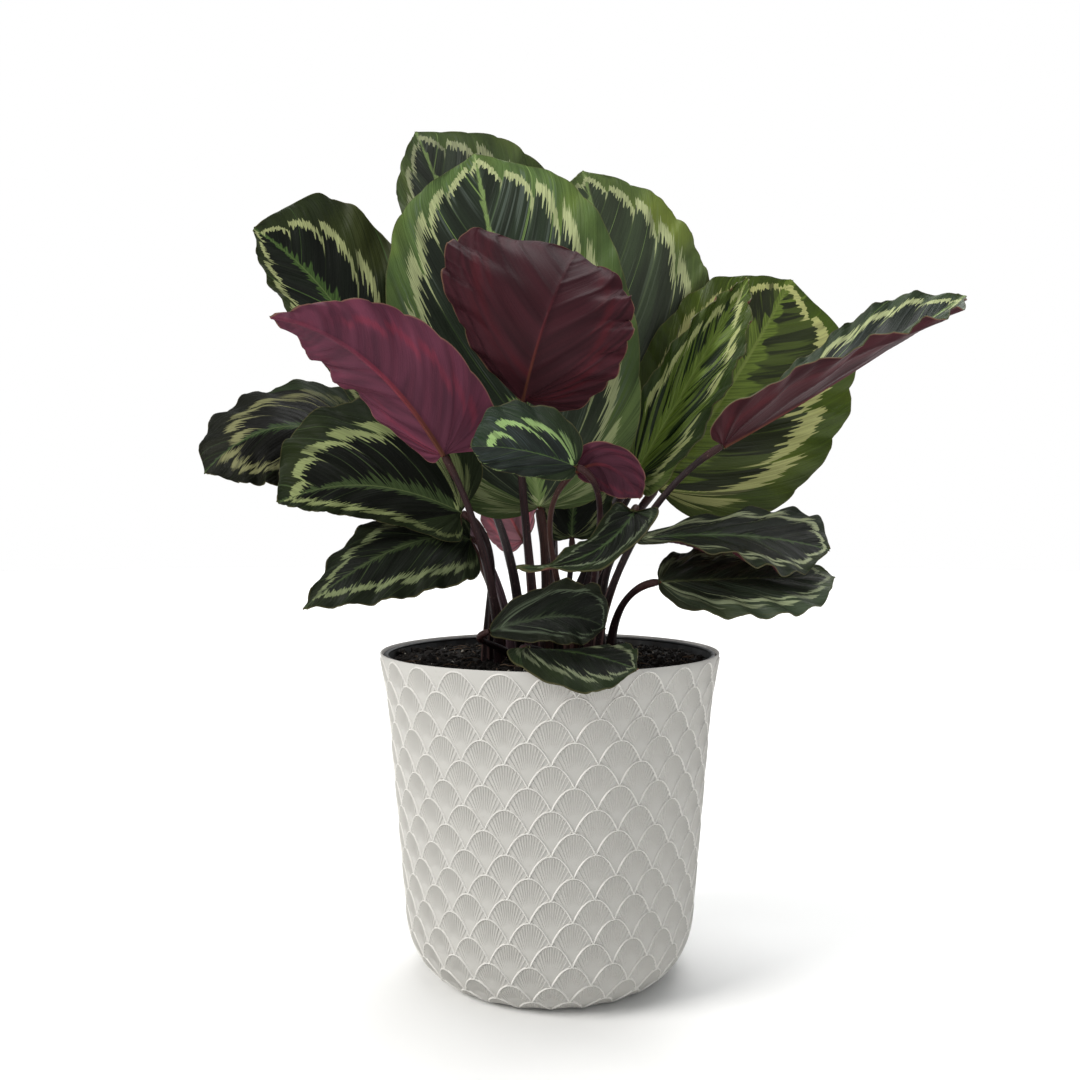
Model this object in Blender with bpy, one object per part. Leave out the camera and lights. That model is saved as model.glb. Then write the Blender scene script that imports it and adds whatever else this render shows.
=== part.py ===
"""A medallion calathea in its pot.

Broad leaves on slim stems rise from one crown in potting soil. The soil fills a black grow pot,
which stands inside a thin decorative pot with a raised pattern of fans.

Units are metres, +Z is up and -Y is the front. The origin is the centre of the decorative pot's
flat foot. The leaf table is in millimetres and degrees.
"""

import math
import random
from collections import namedtuple

import bmesh
import bpy
import numpy as np
from mathutils import Vector

MM = 0.001
GAP = 0.3 * MM  # clear space between pieces that touch

# The decorative pot.
POT_HEIGHT = 186 * MM
POT_RIM_RADIUS = 100 * MM
POT_WALL = 1.5 * MM
POT_FLOOR = 3 * MM
SIDE_RADIUS_AT_FOOT = 81.2 * MM  # the straight side, carried down to the floor line
SIDE_SLOPE = 0.086  # radius gained for each unit of height
FLARE_START = 152 * MM
FLARE_POWER = 1.3
CORNER_HEIGHT = 34 * MM
CORNER_DEPTH = 23 * MM
FANS_AROUND = 24
FAN_ROWS = 15
FAN_PITCH = 11.9 * MM  # along the wall, from one row of fans to the next
FIRST_FAN = 1.6 * MM  # along the wall, from the rim to the top of the first fans
LAST_RING = 4 * MM  # along the wall, from the last fans to the plain foot
FAN_RELIEF = 0.7 * MM  # height of a fan's edge over its hollow
ARC_MIDDLE = 0.25  # the middle of half an arc lies this share of a row below the arc's top
PROFILE_STEPS = 400  # for measuring along the wall
SLOPE_STEP = 0.6 * MM  # likewise
INSIDE_HEIGHTS = (184 * MM, 172 * MM, 152 * MM, 34 * MM, 14 * MM, 6 * MM)
INSIDE_FLOOR_INSET = 3 * MM  # from the outer corner to the edge of the floor inside

# The grow pot inside it: (radius, height) down its outer side.
GROW_PROFILE = (
    (97.2 * MM, 184.4 * MM),
    (94.4 * MM, 173 * MM),
    (91.6 * MM, 171.5 * MM),
    (78 * MM, 40 * MM),
    (62 * MM, 8 * MM),
    (60 * MM, POT_FLOOR + GAP),
)
GROW_WALL = 1.2 * MM
GROW_SEGMENTS = 36
DRAIN_HOLES = 6
DRAIN_RADIUS = 5 * MM
DRAIN_CIRCLE = 40 * MM
CUTTER_SIDES = 6
CUT_PAST = 10 * MM  # how far a cutter reaches past what it cuts

# The soil and the stems that stand in it.
SOIL_TOP = 180 * MM
SOIL_BUMP = 1.1 * MM
SOIL_RINGS = 5
SOIL_SEED = 4
STEM_DEPTH = 16 * MM  # how far a stem goes into the soil
STEM_STEPS = 8
STEM_CROWDING = 1.4  # the steps are shorter under the leaf, where a stem bends most
STEM_FOOT = (1.7 * MM, 0.011)  # a stem's radius in the soil: plain part, and share of the leaf's width
HOLE_EASE = 1.12  # the soil's holes have flat sides, so they are drawn wider
STEM_TOP = 0.68  # the radius under the leaf, as a share of that
LEAF_CLEARANCE = 0.8 * MM  # between the end of a stem and the base of its leaf

# The leaves.
LEAF_THICKNESS = 0.8 * MM
RIB_THICKNESS = 2.2 * MM  # the midrib at the leaf's base
RIB_TAPER = 0.5
END_WIDTH = 1.5 * MM  # half the width of a leaf's first and last edge
VEIN_LEAN = 0.16  # how far towards the tip a side vein ends, as a share of the leaf's length
VEIN_SWEEP = 1.6
LOBE = 0.12  # how far a leaf's base lobes reach back past its stem, likewise
LOBE_FADE = 6
ROUNDNESS = 2.5
VEIN_STEPS = 11  # strips along a leaf
HALF_STEPS = 3  # strips from the midrib to each edge
END_CROWDING = 0.5  # how much closer the strips are at the ends
EDGE_PHASE = 2.0  # radians by which the waves of the right edge are ahead of the left one's
LEAST_CUP = 0.01  # degrees, because a half that doesn't bend at all has no radius

SHARP_ANGLE = 40
BLADE_SHARP_ANGLE = 60

Leaf = namedtuple("Leaf", "root base middle tip facing twist wide rise cup shape ruffle waves bows")
"""root: where the stem meets the soil, (x, y). base, middle, tip: points on the midrib.
facing: where the upper side looks at the middle, (azimuth, elevation); azimuth 0 is the front, 90 the right.
twist: how far the facing turns along the leaf. The next three are for the left and right half, as seen on
the upper side with the tip up. wide: half widths. rise: the angle at which a half leaves the midrib, up
being positive. cup: how far it bends on from there to its edge. shape: where each half is widest, as a share
of the leaf's length, and how pointed the leaf is. ruffle: height of the edge's waves. waves: their number.
bows: how long the stem keeps its direction at the soil and under the leaf, as a share of its length."""

LEAVES = {
    "top_back": Leaf(
        root=(-3, 21), base=(-8, 76, 342), middle=(-50, 88, 434), tip=(-88, 70, 520), facing=(-12, 10),
        twist=0, wide=(38, 74), rise=(8, 12), cup=(-45, -10), shape=(0.50, 0.50, 0.1), ruffle=2.2, waves=5,
        bows=(0.4, 0.3),
    ),
    "large_middle": Leaf(
        root=(-2, -3), base=(-6, 6, 270), middle=(-24, 4, 373), tip=(-46, 14, 486), facing=(3, 6),
        twist=0, wide=(70, 76), rise=(2, 6), cup=(2, -6), shape=(0.50, 0.50, 0.0), ruffle=2.0, waves=6,
        bows=(0.4, 0.3),
    ),
    "upper_right": Leaf(
        root=(9, 14), base=(60, 54, 322), middle=(43, 54, 404), tip=(22, 54, 489), facing=(8, 4),
        twist=0, wide=(58, 66), rise=(6, 4), cup=(-10, -10), shape=(0.44, 0.44, 0.15), ruffle=2.5, waves=6,
        bows=(0.4, 0.3),
    ),
    "middle_burgundy": Leaf(
        root=(-9, -15), base=(-15, -30, 331), middle=(-2, -56, 373), tip=(15, -24, 416),
        facing=(178, 6), twist=10, wide=(47, 65), rise=(-4, -4), cup=(10, 10), shape=(0.47, 0.70, 0.0),
        ruffle=3.0, waves=5, bows=(0.4, 0.3),
    ),
    "left_burgundy": Leaf(
        root=(-30, -17), base=(-58, -56, 298), middle=(-98, -76, 347), tip=(-148, -72, 370),
        facing=(186, 4), twist=0, wide=(38, 31), rise=(0, 46), cup=(0, 20), shape=(0.20, 0.45, 0.8),
        ruffle=2.5, waves=4, bows=(0.3, 0.3),
    ),
    "upper_left": Leaf(
        root=(-23, 4), base=(-93, 14, 328), middle=(-132, 8, 396), tip=(-178, 6, 438), facing=(-8, 16),
        twist=10, wide=(27, 51), rise=(-10, 0), cup=(-20, -14), shape=(0.42, 0.62, 0.2), ruffle=2.5, waves=5,
        bows=(0.4, 0.3),
    ),
    "far_left": Leaf(
        root=(-28, 14), base=(-122, 30, 312), middle=(-170, 24, 320), tip=(-212, 20, 292),
        facing=(-16, 42), twist=0, wide=(42, 58), rise=(-5, 0), cup=(-20, -20), shape=(0.48, 0.48, 0.1),
        ruffle=2.5, waves=5, bows=(0.4, 0.3),
    ),
    "left": Leaf(
        root=(-36, -4), base=(-50, -34, 267), middle=(-102, -42, 282), tip=(-150, -48, 272),
        facing=(-6, 24), twist=0, wide=(20, 58), rise=(-6, 0), cup=(-20, -6), shape=(0.27, 0.47, 0.2),
        ruffle=2.5, waves=5, bows=(0.4, 0.3),
    ),
    "lower_left": Leaf(
        root=(-38, 6), base=(-46, -22, 252), middle=(-86, -40, 247), tip=(-136, -50, 214),
        facing=(-6, 48), twist=0, wide=(36, 28), rise=(-4, 0), cup=(-10, 10), shape=(0.36, 0.36, 0.5),
        ruffle=2.5, waves=5, bows=(0.4, 0.3),
    ),
    "small_round": Leaf(
        root=(22, -20), base=(13, -88, 290), middle=(-14, -92, 298), tip=(-41, -92, 300),
        facing=(-4, 25), twist=0, wide=(13, 30), rise=(-10, 0), cup=(-30, -10), shape=(0.50, 0.50, 0.0),
        ruffle=1.5, waves=4, bows=(0.45, 0.2),
    ),
    "small_burgundy": Leaf(
        root=(10, -19), base=(13, -74, 288), middle=(30, -78, 291), tip=(47, -78, 274),
        facing=(180, 20), twist=0, wide=(15, 12), rise=(0, 0), cup=(20, 20), shape=(0.50, 0.50, 0.1),
        ruffle=0.6, waves=2, bows=(0.4, 0.3),
    ),
    "s_shaped": Leaf(
        root=(15, -10), base=(44, -70, 267), middle=(19, -88, 245), tip=(-18, -83, 238),
        facing=(-10, 64), twist=0, wide=(15, 15), rise=(0, 0), cup=(0, 0), shape=(0.25, 0.25, 0.9),
        ruffle=2.5, waves=2, bows=(0.4, 0.2),
    ),
    "striped": Leaf(
        root=(17, 4), base=(52, 28, 289), middle=(89, 24, 353), tip=(122, 20, 412), facing=(-9, 6),
        twist=0, wide=(26, 34), rise=(38, 38), cup=(10, 10), shape=(0.33, 0.38, 0.5), ruffle=2.0, waves=6,
        bows=(0.4, 0.3),
    ),
    "big_right": Leaf(
        root=(24, 13), base=(68, 42, 283), middle=(114, 46, 346), tip=(158, 60, 420), facing=(4, 6),
        twist=0, wide=(58, 76), rise=(0, 6), cup=(-10, -14), shape=(0.52, 0.52, 0.0), ruffle=2.2, waves=6,
        bows=(0.4, 0.3),
    ),
    "long_folded": Leaf(
        root=(28, -9), base=(98, -30, 305), middle=(170, -30, 347), tip=(239, -22, 392), facing=(0, 90),
        twist=-36, wide=(34, 42), rise=(34, 6), cup=(10, 20), shape=(0.56, 0.42, 0.25), ruffle=2.6, waves=6,
        bows=(0.25, 0.35),
    ),
    "lower_right_upper": Leaf(
        root=(31, 3), base=(52, -13, 252), middle=(110, -20, 254), tip=(158, -32, 246), facing=(0, 66),
        twist=-30, wide=(39, 48), rise=(4, 0), cup=(-10, 20), shape=(0.56, 0.52, 0.0), ruffle=2.4, waves=5,
        bows=(0.4, 0.3),
    ),
    "lower_right_lower": Leaf(
        root=(35, -9), base=(61, -38, 228), middle=(102, -40, 230), tip=(160, -36, 231), facing=(0, 64),
        twist=0, wide=(43, 34), rise=(0, 0), cup=(-6, -16), shape=(0.48, 0.58, 0.0), ruffle=2.4, waves=6,
        bows=(0.4, 0.3),
    ),
    "front_low": Leaf(
        root=(-20, -22), base=(-33, -53, 202), middle=(4, -63, 211), tip=(29, -65, 205), facing=(0, 42),
        twist=0, wide=(27, 17), rise=(0, 0), cup=(-10, -10), shape=(0.62, 0.62, 0.1), ruffle=1.8, waves=4,
        bows=(0.3, 0.5),
    ),
    "over_the_rim": Leaf(
        root=(0, -27), base=(-12, -66, 194), middle=(16, -96, 195), tip=(42, -111, 189), facing=(0, 66),
        twist=-30, wide=(25, 28), rise=(-12, 12), cup=(-4, -40), shape=(0.50, 0.50, 0.1), ruffle=1.2,
        waves=4, bows=(0.3, 0.4),
    ),
    "low_back": Leaf(
        root=(-13, 13), base=(-16, 60, 250), middle=(-26, 78, 267), tip=(-36, 90, 286),
        facing=(180, 20), twist=0, wide=(20, 20), rise=(0, 0), cup=(-10, -10), shape=(0.48, 0.48, 0.1),
        ruffle=1.5, waves=4, bows=(0.4, 0.3),
    ),
    "behind_stems": Leaf(
        root=(7, 4), base=(14, 24, 252), middle=(18, 34, 284), tip=(32, 36, 320), facing=(-4, 10),
        twist=0, wide=(24, 24), rise=(0, 0), cup=(-10, -10), shape=(0.48, 0.48, 0.2), ruffle=1.8, waves=4,
        bows=(0.3, 0.3),
    ),
    "back_left": Leaf(
        root=(-17, 23), base=(-64, 100, 318), middle=(-92, 126, 378), tip=(-100, 126, 440),
        facing=(200, 20), twist=0, wide=(58, 58), rise=(0, 0), cup=(-10, -10), shape=(0.48, 0.48, 0.1),
        ruffle=2.4, waves=6, bows=(0.4, 0.3),
    ),
    "back_right": Leaf(
        root=(19, 24), base=(66, 98, 310), middle=(96, 118, 356), tip=(122, 118, 402), facing=(160, 20),
        twist=0, wide=(56, 56), rise=(0, 0), cup=(-10, -10), shape=(0.48, 0.48, 0.1), ruffle=2.4, waves=6,
        bows=(0.4, 0.3),
    ),
    "back_middle": Leaf(
        root=(3, 31), base=(4, 120, 300), middle=(2, 160, 340), tip=(-6, 186, 392), facing=(180, 40),
        twist=0, wide=(56, 56), rise=(0, 0), cup=(-10, -10), shape=(0.48, 0.48, 0.1), ruffle=2.4, waves=6,
        bows=(0.4, 0.3),
    ),
}


def main():
    clear_scene()
    colours = make_materials()
    make_decorative_pot(colours["pale"])
    make_grow_pot(colours["black"])
    make_soil(colours["soil"])
    for name, leaf in LEAVES.items():
        make_blade("blade_" + name, leaf, colours["green"], colours["burgundy"])
        make_stem("stem_" + name, leaf, colours["stem"])


def clear_scene():
    for obj in list(bpy.data.objects):
        bpy.data.objects.remove(obj)


def make_materials():
    return {
        "pale": material("pale_plastic", (0.60, 0.58, 0.54), 0.6),
        "black": material("black_plastic", (0.02, 0.02, 0.02), 0.5),
        "soil": material("potting_soil", (0.035, 0.025, 0.018), 0.95),
        "green": material("leaf_upper_side", (0.05, 0.12, 0.035), 0.35),
        "burgundy": material("leaf_underside", (0.16, 0.03, 0.045), 0.5),
        "stem": material("stem", (0.13, 0.05, 0.04), 0.45),
    }


def material(name, colour, roughness):
    made = bpy.data.materials.new(name)
    made.use_nodes = True
    shader = made.node_tree.nodes["Principled BSDF"]
    shader.inputs["Base Color"].default_value = (*colour, 1)
    shader.inputs["Roughness"].default_value = roughness
    shader.inputs["Metallic"].default_value = 0.0
    made.diffuse_color = (*colour, 1)
    return made


def mesh_object(name, points, faces, *materials):
    mesh = bpy.data.meshes.new(name)
    mesh.from_pydata([tuple(p) for p in points], [], faces)
    for each in materials:
        mesh.materials.append(each)
    obj = bpy.data.objects.new(name, mesh)
    bpy.context.scene.collection.objects.link(obj)
    return obj


def shade_smooth(obj, angle=SHARP_ANGLE):
    obj.data.shade_smooth()
    obj.data.set_sharp_from_angle(angle=math.radians(angle))


# The pots and the soil.


def pot_radius(z):
    """The decorative pot's outer radius at height z."""
    radius = SIDE_RADIUS_AT_FOOT + SIDE_SLOPE * z
    if z > FLARE_START:
        flare = POT_RIM_RADIUS - SIDE_RADIUS_AT_FOOT - SIDE_SLOPE * POT_HEIGHT
        radius += flare * ((z - FLARE_START) / (POT_HEIGHT - FLARE_START)) ** FLARE_POWER
    if z < CORNER_HEIGHT:
        share = (CORNER_HEIGHT - z) / CORNER_HEIGHT
        radius -= CORNER_DEPTH * (1 - math.sqrt(max(0.0, 1 - share * share)))
    return radius


def measured_wall():
    """Heights down the decorative pot's wall, their radii, and their distances from the rim along it."""
    # Even steps in angle keep the steep round corner as finely measured as the side.
    turns = np.linspace(0, math.pi / 2, PROFILE_STEPS)
    heights = POT_HEIGHT * (1 - np.sin(turns))
    radii = np.array([pot_radius(z) for z in heights])
    steps = np.hypot(np.diff(heights), np.diff(radii))
    return heights, radii, np.concatenate([[0], np.cumsum(steps)])


def wall_point(wall, distance, angle, relief=0.0):
    """The point of the decorative pot's wall this far from the rim along it, raised outwards by relief."""
    heights, radii, distances = wall
    z = np.interp(distance, distances, heights)
    radius = np.interp(distance, distances, radii)
    nearby = (distance - SLOPE_STEP, distance + SLOPE_STEP)
    slope_z = np.diff(np.interp(nearby, distances, heights))[0]
    slope_r = np.diff(np.interp(nearby, distances, radii))[0]
    length = math.hypot(slope_z, slope_r)
    radius -= relief * slope_z / length
    z += relief * slope_r / length
    return (radius * math.sin(angle), -radius * math.cos(angle), z)


def make_decorative_pot(finish):
    """Each fan is a curved diamond of eight triangles round a hollow, with its raised edge as two arcs."""
    wall = measured_wall()
    half = math.pi / FANS_AROUND
    columns = 2 * FANS_AROUND
    points = []
    faces = []
    index = {}

    def at(column, row):
        """A raised point. Rows are counted in pitches from the tops of the first fans."""
        key = (column % columns, row)
        if key not in index:
            index[key] = len(points)
            distance = FIRST_FAN + row * FAN_PITCH
            points.append(wall_point(wall, distance, column * half, FAN_RELIEF))
        return index[key]

    def ring(height, radius):
        first = len(points)
        for column in range(columns):
            angle = column * half
            points.append((radius * math.sin(angle), -radius * math.cos(angle), height))
        return [first + column for column in range(columns)]

    def bridge(upper, lower):
        for a in range(columns):
            b = (a + 1) % columns
            faces.append((upper[a], lower[a], lower[b]))
            faces.append((upper[a], lower[b], upper[b]))

    rim = ring(POT_HEIGHT, POT_RIM_RADIUS)
    for row in range(FAN_ROWS):
        for fan in range(FANS_AROUND):
            column = 2 * fan + row % 2
            edge = [
                at(column, row),
                at(column - 0.5, row + ARC_MIDDLE),
                at(column - 1, row + 1),
                at(column - 0.5, row + 1 + ARC_MIDDLE),
                at(column, row + 2),
                at(column + 0.5, row + 1 + ARC_MIDDLE),
                at(column + 1, row + 1),
                at(column + 0.5, row + ARC_MIDDLE),
            ]
            hollow = len(points)
            points.append(wall_point(wall, FIRST_FAN + (row + 1) * FAN_PITCH, column * half))
            faces.extend((hollow, a, b) for a, b in zip(edge, edge[1:] + edge[:1]))
    for fan in range(FANS_AROUND):
        column = 2 * fan
        left, middle, right = (rim[c % columns] for c in (column, column + 1, column + 2))
        valley = at(column + 1, 1)
        faces.append((left, at(column, 0), at(column + 0.5, ARC_MIDDLE)))
        faces.append((left, at(column + 0.5, ARC_MIDDLE), middle))
        faces.append((middle, at(column + 0.5, ARC_MIDDLE), valley))
        faces.append((middle, valley, at(column + 1.5, ARC_MIDDLE)))
        faces.append((middle, at(column + 1.5, ARC_MIDDLE), right))
        faces.append((right, at(column + 1.5, ARC_MIDDLE), at(column + 2, 0)))
    last_distance = FIRST_FAN + (FAN_ROWS + 1) * FAN_PITCH + LAST_RING
    foot_points = [wall_point(wall, last_distance, column * half) for column in range(columns)]
    low = list(range(len(points), len(points) + columns))
    points.extend(foot_points)
    for fan in range(FANS_AROUND):
        top = 2 * fan + FAN_ROWS % 2
        for side in (-1, 1):
            chain = [
                at(top, FAN_ROWS),
                at(top + side * 0.5, FAN_ROWS + ARC_MIDDLE),
                at(top + side, FAN_ROWS + 1),
            ]
            strip = [
                (low[top % columns], chain[1], chain[0]),
                (low[top % columns], low[(top + side) % columns], chain[1]),
                (low[(top + side) % columns], chain[2], chain[1]),
            ]
            faces.extend(face if side > 0 else face[::-1] for face in strip)
    foot = ring(0, pot_radius(0))
    bridge(low, foot)
    faces.append(tuple(reversed(foot)))
    inner = ring(POT_HEIGHT, POT_RIM_RADIUS - POT_WALL)
    bridge(inner, rim)
    for height in INSIDE_HEIGHTS:
        lower = ring(height, pot_radius(height) - POT_WALL)
        bridge(lower, inner)
        inner = lower
    lower = ring(POT_FLOOR, pot_radius(POT_FLOOR) - INSIDE_FLOOR_INSET)
    bridge(lower, inner)
    faces.append(tuple(lower))
    pot = mesh_object("decorative_pot", points, faces, finish)
    shade_smooth(pot)


def turned(name, profile, segments, finish):
    """A solid turned about the Z axis from its outline, which runs from the axis back to the axis."""
    shape = bmesh.new()
    corners = [shape.verts.new((radius, 0, z)) for radius, z in profile]
    edges = [shape.edges.new(pair) for pair in zip(corners, corners[1:])]
    bmesh.ops.spin(
        shape,
        geom=corners + edges,
        axis=(0, 0, 1),
        cent=(0, 0, 0),
        angle=2 * math.pi,
        steps=segments,
        use_merge=True,
    )
    bmesh.ops.remove_doubles(shape, verts=shape.verts, dist=MM / 100)
    bmesh.ops.recalc_face_normals(shape, faces=shape.faces)
    mesh = bpy.data.meshes.new(name)
    shape.to_mesh(mesh)
    shape.free()
    mesh.materials.append(finish)
    obj = bpy.data.objects.new(name, mesh)
    bpy.context.scene.collection.objects.link(obj)
    return obj


def make_grow_pot(finish):
    outside = list(GROW_PROFILE)
    floor = outside[-1][1] + GROW_WALL
    inside = [(radius - GROW_WALL, max(z, floor)) for radius, z in reversed(outside)]
    profile = [(0, outside[-1][1])] + outside[::-1] + inside[::-1] + [(0, floor)]
    pot = turned("grow_pot", profile, GROW_SEGMENTS, finish)
    drains = []
    for i in range(DRAIN_HOLES):
        angle = 2 * math.pi * i / DRAIN_HOLES
        drains.append((DRAIN_CIRCLE * math.cos(angle), DRAIN_CIRCLE * math.sin(angle), DRAIN_RADIUS))
    cut(pot, cylinders("drain_cutter", drains, 0, POT_FLOOR + CUT_PAST))
    shade_smooth(pot)


def cylinders(name, places, bottom, top):
    """A cutter: one upright cylinder at each (x, y, radius)."""
    shape = bmesh.new()
    for x, y, radius in places:
        made = bmesh.ops.create_cone(
            shape,
            cap_ends=True,
            segments=CUTTER_SIDES,
            radius1=radius,
            radius2=radius,
            depth=top - bottom,
        )
        bmesh.ops.translate(shape, verts=made["verts"], vec=(x, y, (top + bottom) / 2))
    mesh = bpy.data.meshes.new(name)
    shape.to_mesh(mesh)
    shape.free()
    cutter = bpy.data.objects.new(name, mesh)
    bpy.context.scene.collection.objects.link(cutter)
    cutter.hide_render = True
    cutter.display_type = "WIRE"
    return cutter


def cut(obj, cutter):
    boolean = obj.modifiers.new("cut", "BOOLEAN")
    boolean.operation = "DIFFERENCE"
    boolean.solver = "EXACT"
    boolean.object = cutter


def make_soil(finish):
    """The soil fills the grow pot to a lumpy top, with a plain hole for each stem."""
    clearance = GROW_WALL + 2 * GAP
    floor = GROW_PROFILE[-1][1] + GROW_WALL + GAP
    (r0, z0), (r1, z1) = GROW_PROFILE[0], GROW_PROFILE[1]
    top_radius = r1 + (r0 - r1) * (SOIL_TOP - z1) / (z0 - z1) - clearance
    sides = [(radius - clearance, max(z, floor)) for radius, z in GROW_PROFILE[1:]]
    rings = [(top_radius * i / SOIL_RINGS, SOIL_TOP) for i in range(SOIL_RINGS + 1)]
    profile = rings + sides + [(0, floor)]
    soil = turned("soil", profile, GROW_SEGMENTS, finish)
    draw = random.Random(SOIL_SEED)
    for vertex in soil.data.vertices:
        if abs(vertex.co.z - SOIL_TOP) < GAP and vertex.co.xy.length < top_radius - MM:
            vertex.co.z += draw.uniform(-SOIL_BUMP, SOIL_BUMP)
    holes = []
    for leaf in LEAVES.values():
        x, y = leaf.root
        holes.append((x * MM, y * MM, foot_radius(leaf) * HOLE_EASE + 2 * GAP))
    cut(soil, cylinders("stem_cutter", holes, SOIL_TOP - STEM_DEPTH - GAP, SOIL_TOP + CUT_PAST))


# The leaves and their stems.


def unit(vectors):
    return vectors / np.linalg.norm(vectors, axis=-1, keepdims=True)


def midrib(leaf, s):
    """Points and directions on the midrib, s being 0 at the base and 1 at the tip, in metres."""
    base, middle, tip = (np.array(point) * MM for point in (leaf.base, leaf.middle, leaf.tip))
    handle = 2 * middle - (base + tip) / 2
    s = np.asarray(s, float)[..., None]
    points = (1 - s) ** 2 * base + 2 * s * (1 - s) * handle + s**2 * tip
    along = unit((1 - s) * (handle - base) + s * (tip - handle))
    return points, along


def width_share(leaf, s, right):
    """A half's width along the midrib, as a share of its widest."""
    widest_left, widest_right, point = leaf.shape
    even = s.clip(0, 1) ** (math.log(0.5) / np.log(np.where(right, widest_right, widest_left)))
    return (1 - np.abs(2 * even - 1) ** ROUNDNESS).clip(0) ** (0.5 + point * s)


def leaf_surface(leaf, u, v):
    """The leaf's upper side. u runs along the edge from base to tip, and v from -1 at the left edge,
    over 0 at the midrib, to 1 at the right edge. Lines of equal u follow the side veins."""
    share = np.abs(v)
    right = v > 0
    s = u + VEIN_LEAN * share**VEIN_SWEEP * 4 * u * (1 - u)
    width = width_share(leaf, s, right)
    s = s - LOBE * share * width * (1 - s) ** LOBE_FADE
    points, along = midrib(leaf, s)
    azimuth, elevation = (math.radians(angle) for angle in leaf.facing)
    level = math.cos(elevation)
    face = np.array((math.sin(azimuth) * level, -math.cos(azimuth) * level, math.sin(elevation)))
    across = unit(np.cross(along, face))
    up = np.cross(across, along)
    turn = np.radians(leaf.twist * (s - 0.5))[..., None]
    across, up = across * np.cos(turn) + up * np.sin(turn), up * np.cos(turn) - across * np.sin(turn)
    wide = np.where(right, leaf.wide[1], leaf.wide[0]) * MM
    rise = np.radians(np.where(right, leaf.rise[1], leaf.rise[0]))
    bend = np.radians(np.where(right, leaf.cup[1], leaf.cup[0]) + LEAST_CUP) / wide
    reach = share * (END_WIDTH + (wide - END_WIDTH) * width)
    angle = rise + bend * reach
    out = (np.sin(angle) - np.sin(rise)) / bend
    lift = (np.cos(rise) - np.cos(angle)) / bend
    phase = leaf.base[0] + np.where(right, EDGE_PHASE, 0.0)
    wave = leaf.ruffle * MM * share**2 * np.sin(2 * math.pi * leaf.waves * u + phase)
    wave = wave * np.sqrt((4 * u * (1 - u)).clip(0))
    out = (out - wave * np.sin(angle)) * np.sign(v)
    lift = lift + wave * np.cos(angle)
    return points + across * out[..., None] + up * lift[..., None]


def make_blade(name, leaf, upper_finish, under_finish):
    """A grid of triangles that runs along the side veins, made solid on its underside."""
    steps = np.linspace(0, 1, VEIN_STEPS + 1)
    crowded = (1 - np.cos(math.pi * steps)) / 2
    along = steps + END_CROWDING * (crowded - steps)
    across = np.linspace(-1, 1, 2 * HALF_STEPS + 1)
    u, v = np.meshgrid(along, across, indexing="ij")
    points = leaf_surface(leaf, u, v).reshape(-1, 3)
    columns = len(across)
    faces = []
    for i in range(VEIN_STEPS):
        for j in range(columns - 1):
            a = i * columns + j
            b, c, d = a + 1, a + columns + 1, a + columns
            if j < HALF_STEPS:
                faces += [(a, b, c), (a, c, d)]
            else:
                faces += [(a, b, d), (b, c, d)]
    blade = mesh_object(name, points, faces, upper_finish, under_finish)
    plain = LEAF_THICKNESS / RIB_THICKNESS
    group = blade.vertex_groups.new(name="thickness")
    for i, s in enumerate(along):
        for j in range(columns):
            weight = plain + (1 - plain) * (1 - RIB_TAPER * s) if j == HALF_STEPS else plain
            group.add([i * columns + j], weight, "REPLACE")
    solid = blade.modifiers.new("thickness", "SOLIDIFY")
    solid.thickness = RIB_THICKNESS
    solid.vertex_group = group.name
    solid.offset = -1
    solid.material_offset = 1
    solid.material_offset_rim = 0
    shade_smooth(blade, BLADE_SHARP_ANGLE)


def foot_radius(leaf):
    plain, share = STEM_FOOT
    return plain + share * sum(leaf.wide) * MM


def stem_path(leaf):
    """Points up the stem, from its foot in the soil to just under the leaf."""
    foot = Vector((leaf.root[0] * MM, leaf.root[1] * MM, SOIL_TOP))
    base, along = midrib(leaf, 0.0)
    along = Vector(along)
    end = Vector(base) - along * LEAF_CLEARANCE
    reach = (end - foot).length
    low = foot + Vector((0, 0, leaf.bows[0] * reach))
    high = end - along * leaf.bows[1] * reach
    path = [foot - Vector((0, 0, STEM_DEPTH))]
    for i in range(STEM_STEPS + 1):
        t = 1 - (1 - i / STEM_STEPS) ** STEM_CROWDING
        early = (1 - t) ** 3 * foot + 3 * t * (1 - t) ** 2 * low
        late = 3 * t**2 * (1 - t) * high + t**3 * end
        path.append(early + late)
    return path


def make_stem(name, leaf, finish):
    path = stem_path(leaf)
    curve = bpy.data.curves.new(name, "CURVE")
    curve.dimensions = "3D"
    curve.bevel_depth = foot_radius(leaf)
    curve.bevel_resolution = 1
    curve.use_fill_caps = True
    spline = curve.splines.new("POLY")
    spline.points.add(len(path) - 1)
    for i, (point, place) in enumerate(zip(spline.points, path)):
        point.co = (*place, 1)
        point.radius = 1 - (1 - STEM_TOP) * max(0, i - 1) / STEM_STEPS
    curve.materials.append(finish)
    stem = bpy.data.objects.new(name, curve)
    bpy.context.scene.collection.objects.link(stem)


main()
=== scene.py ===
"""Looks of the potted calathea: detailed leaves, stems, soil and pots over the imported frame.

Units are metres and the frame is the CAD's: +Z up, -Y the front. The leaf table repeats the one that the
solids are made from, in millimetres and degrees, so every blade and stem lies where its node is. It differs
only in the way that back_middle faces.
"""

import math
from collections import namedtuple

import bpy
import numpy as np
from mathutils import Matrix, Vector, noise


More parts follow.
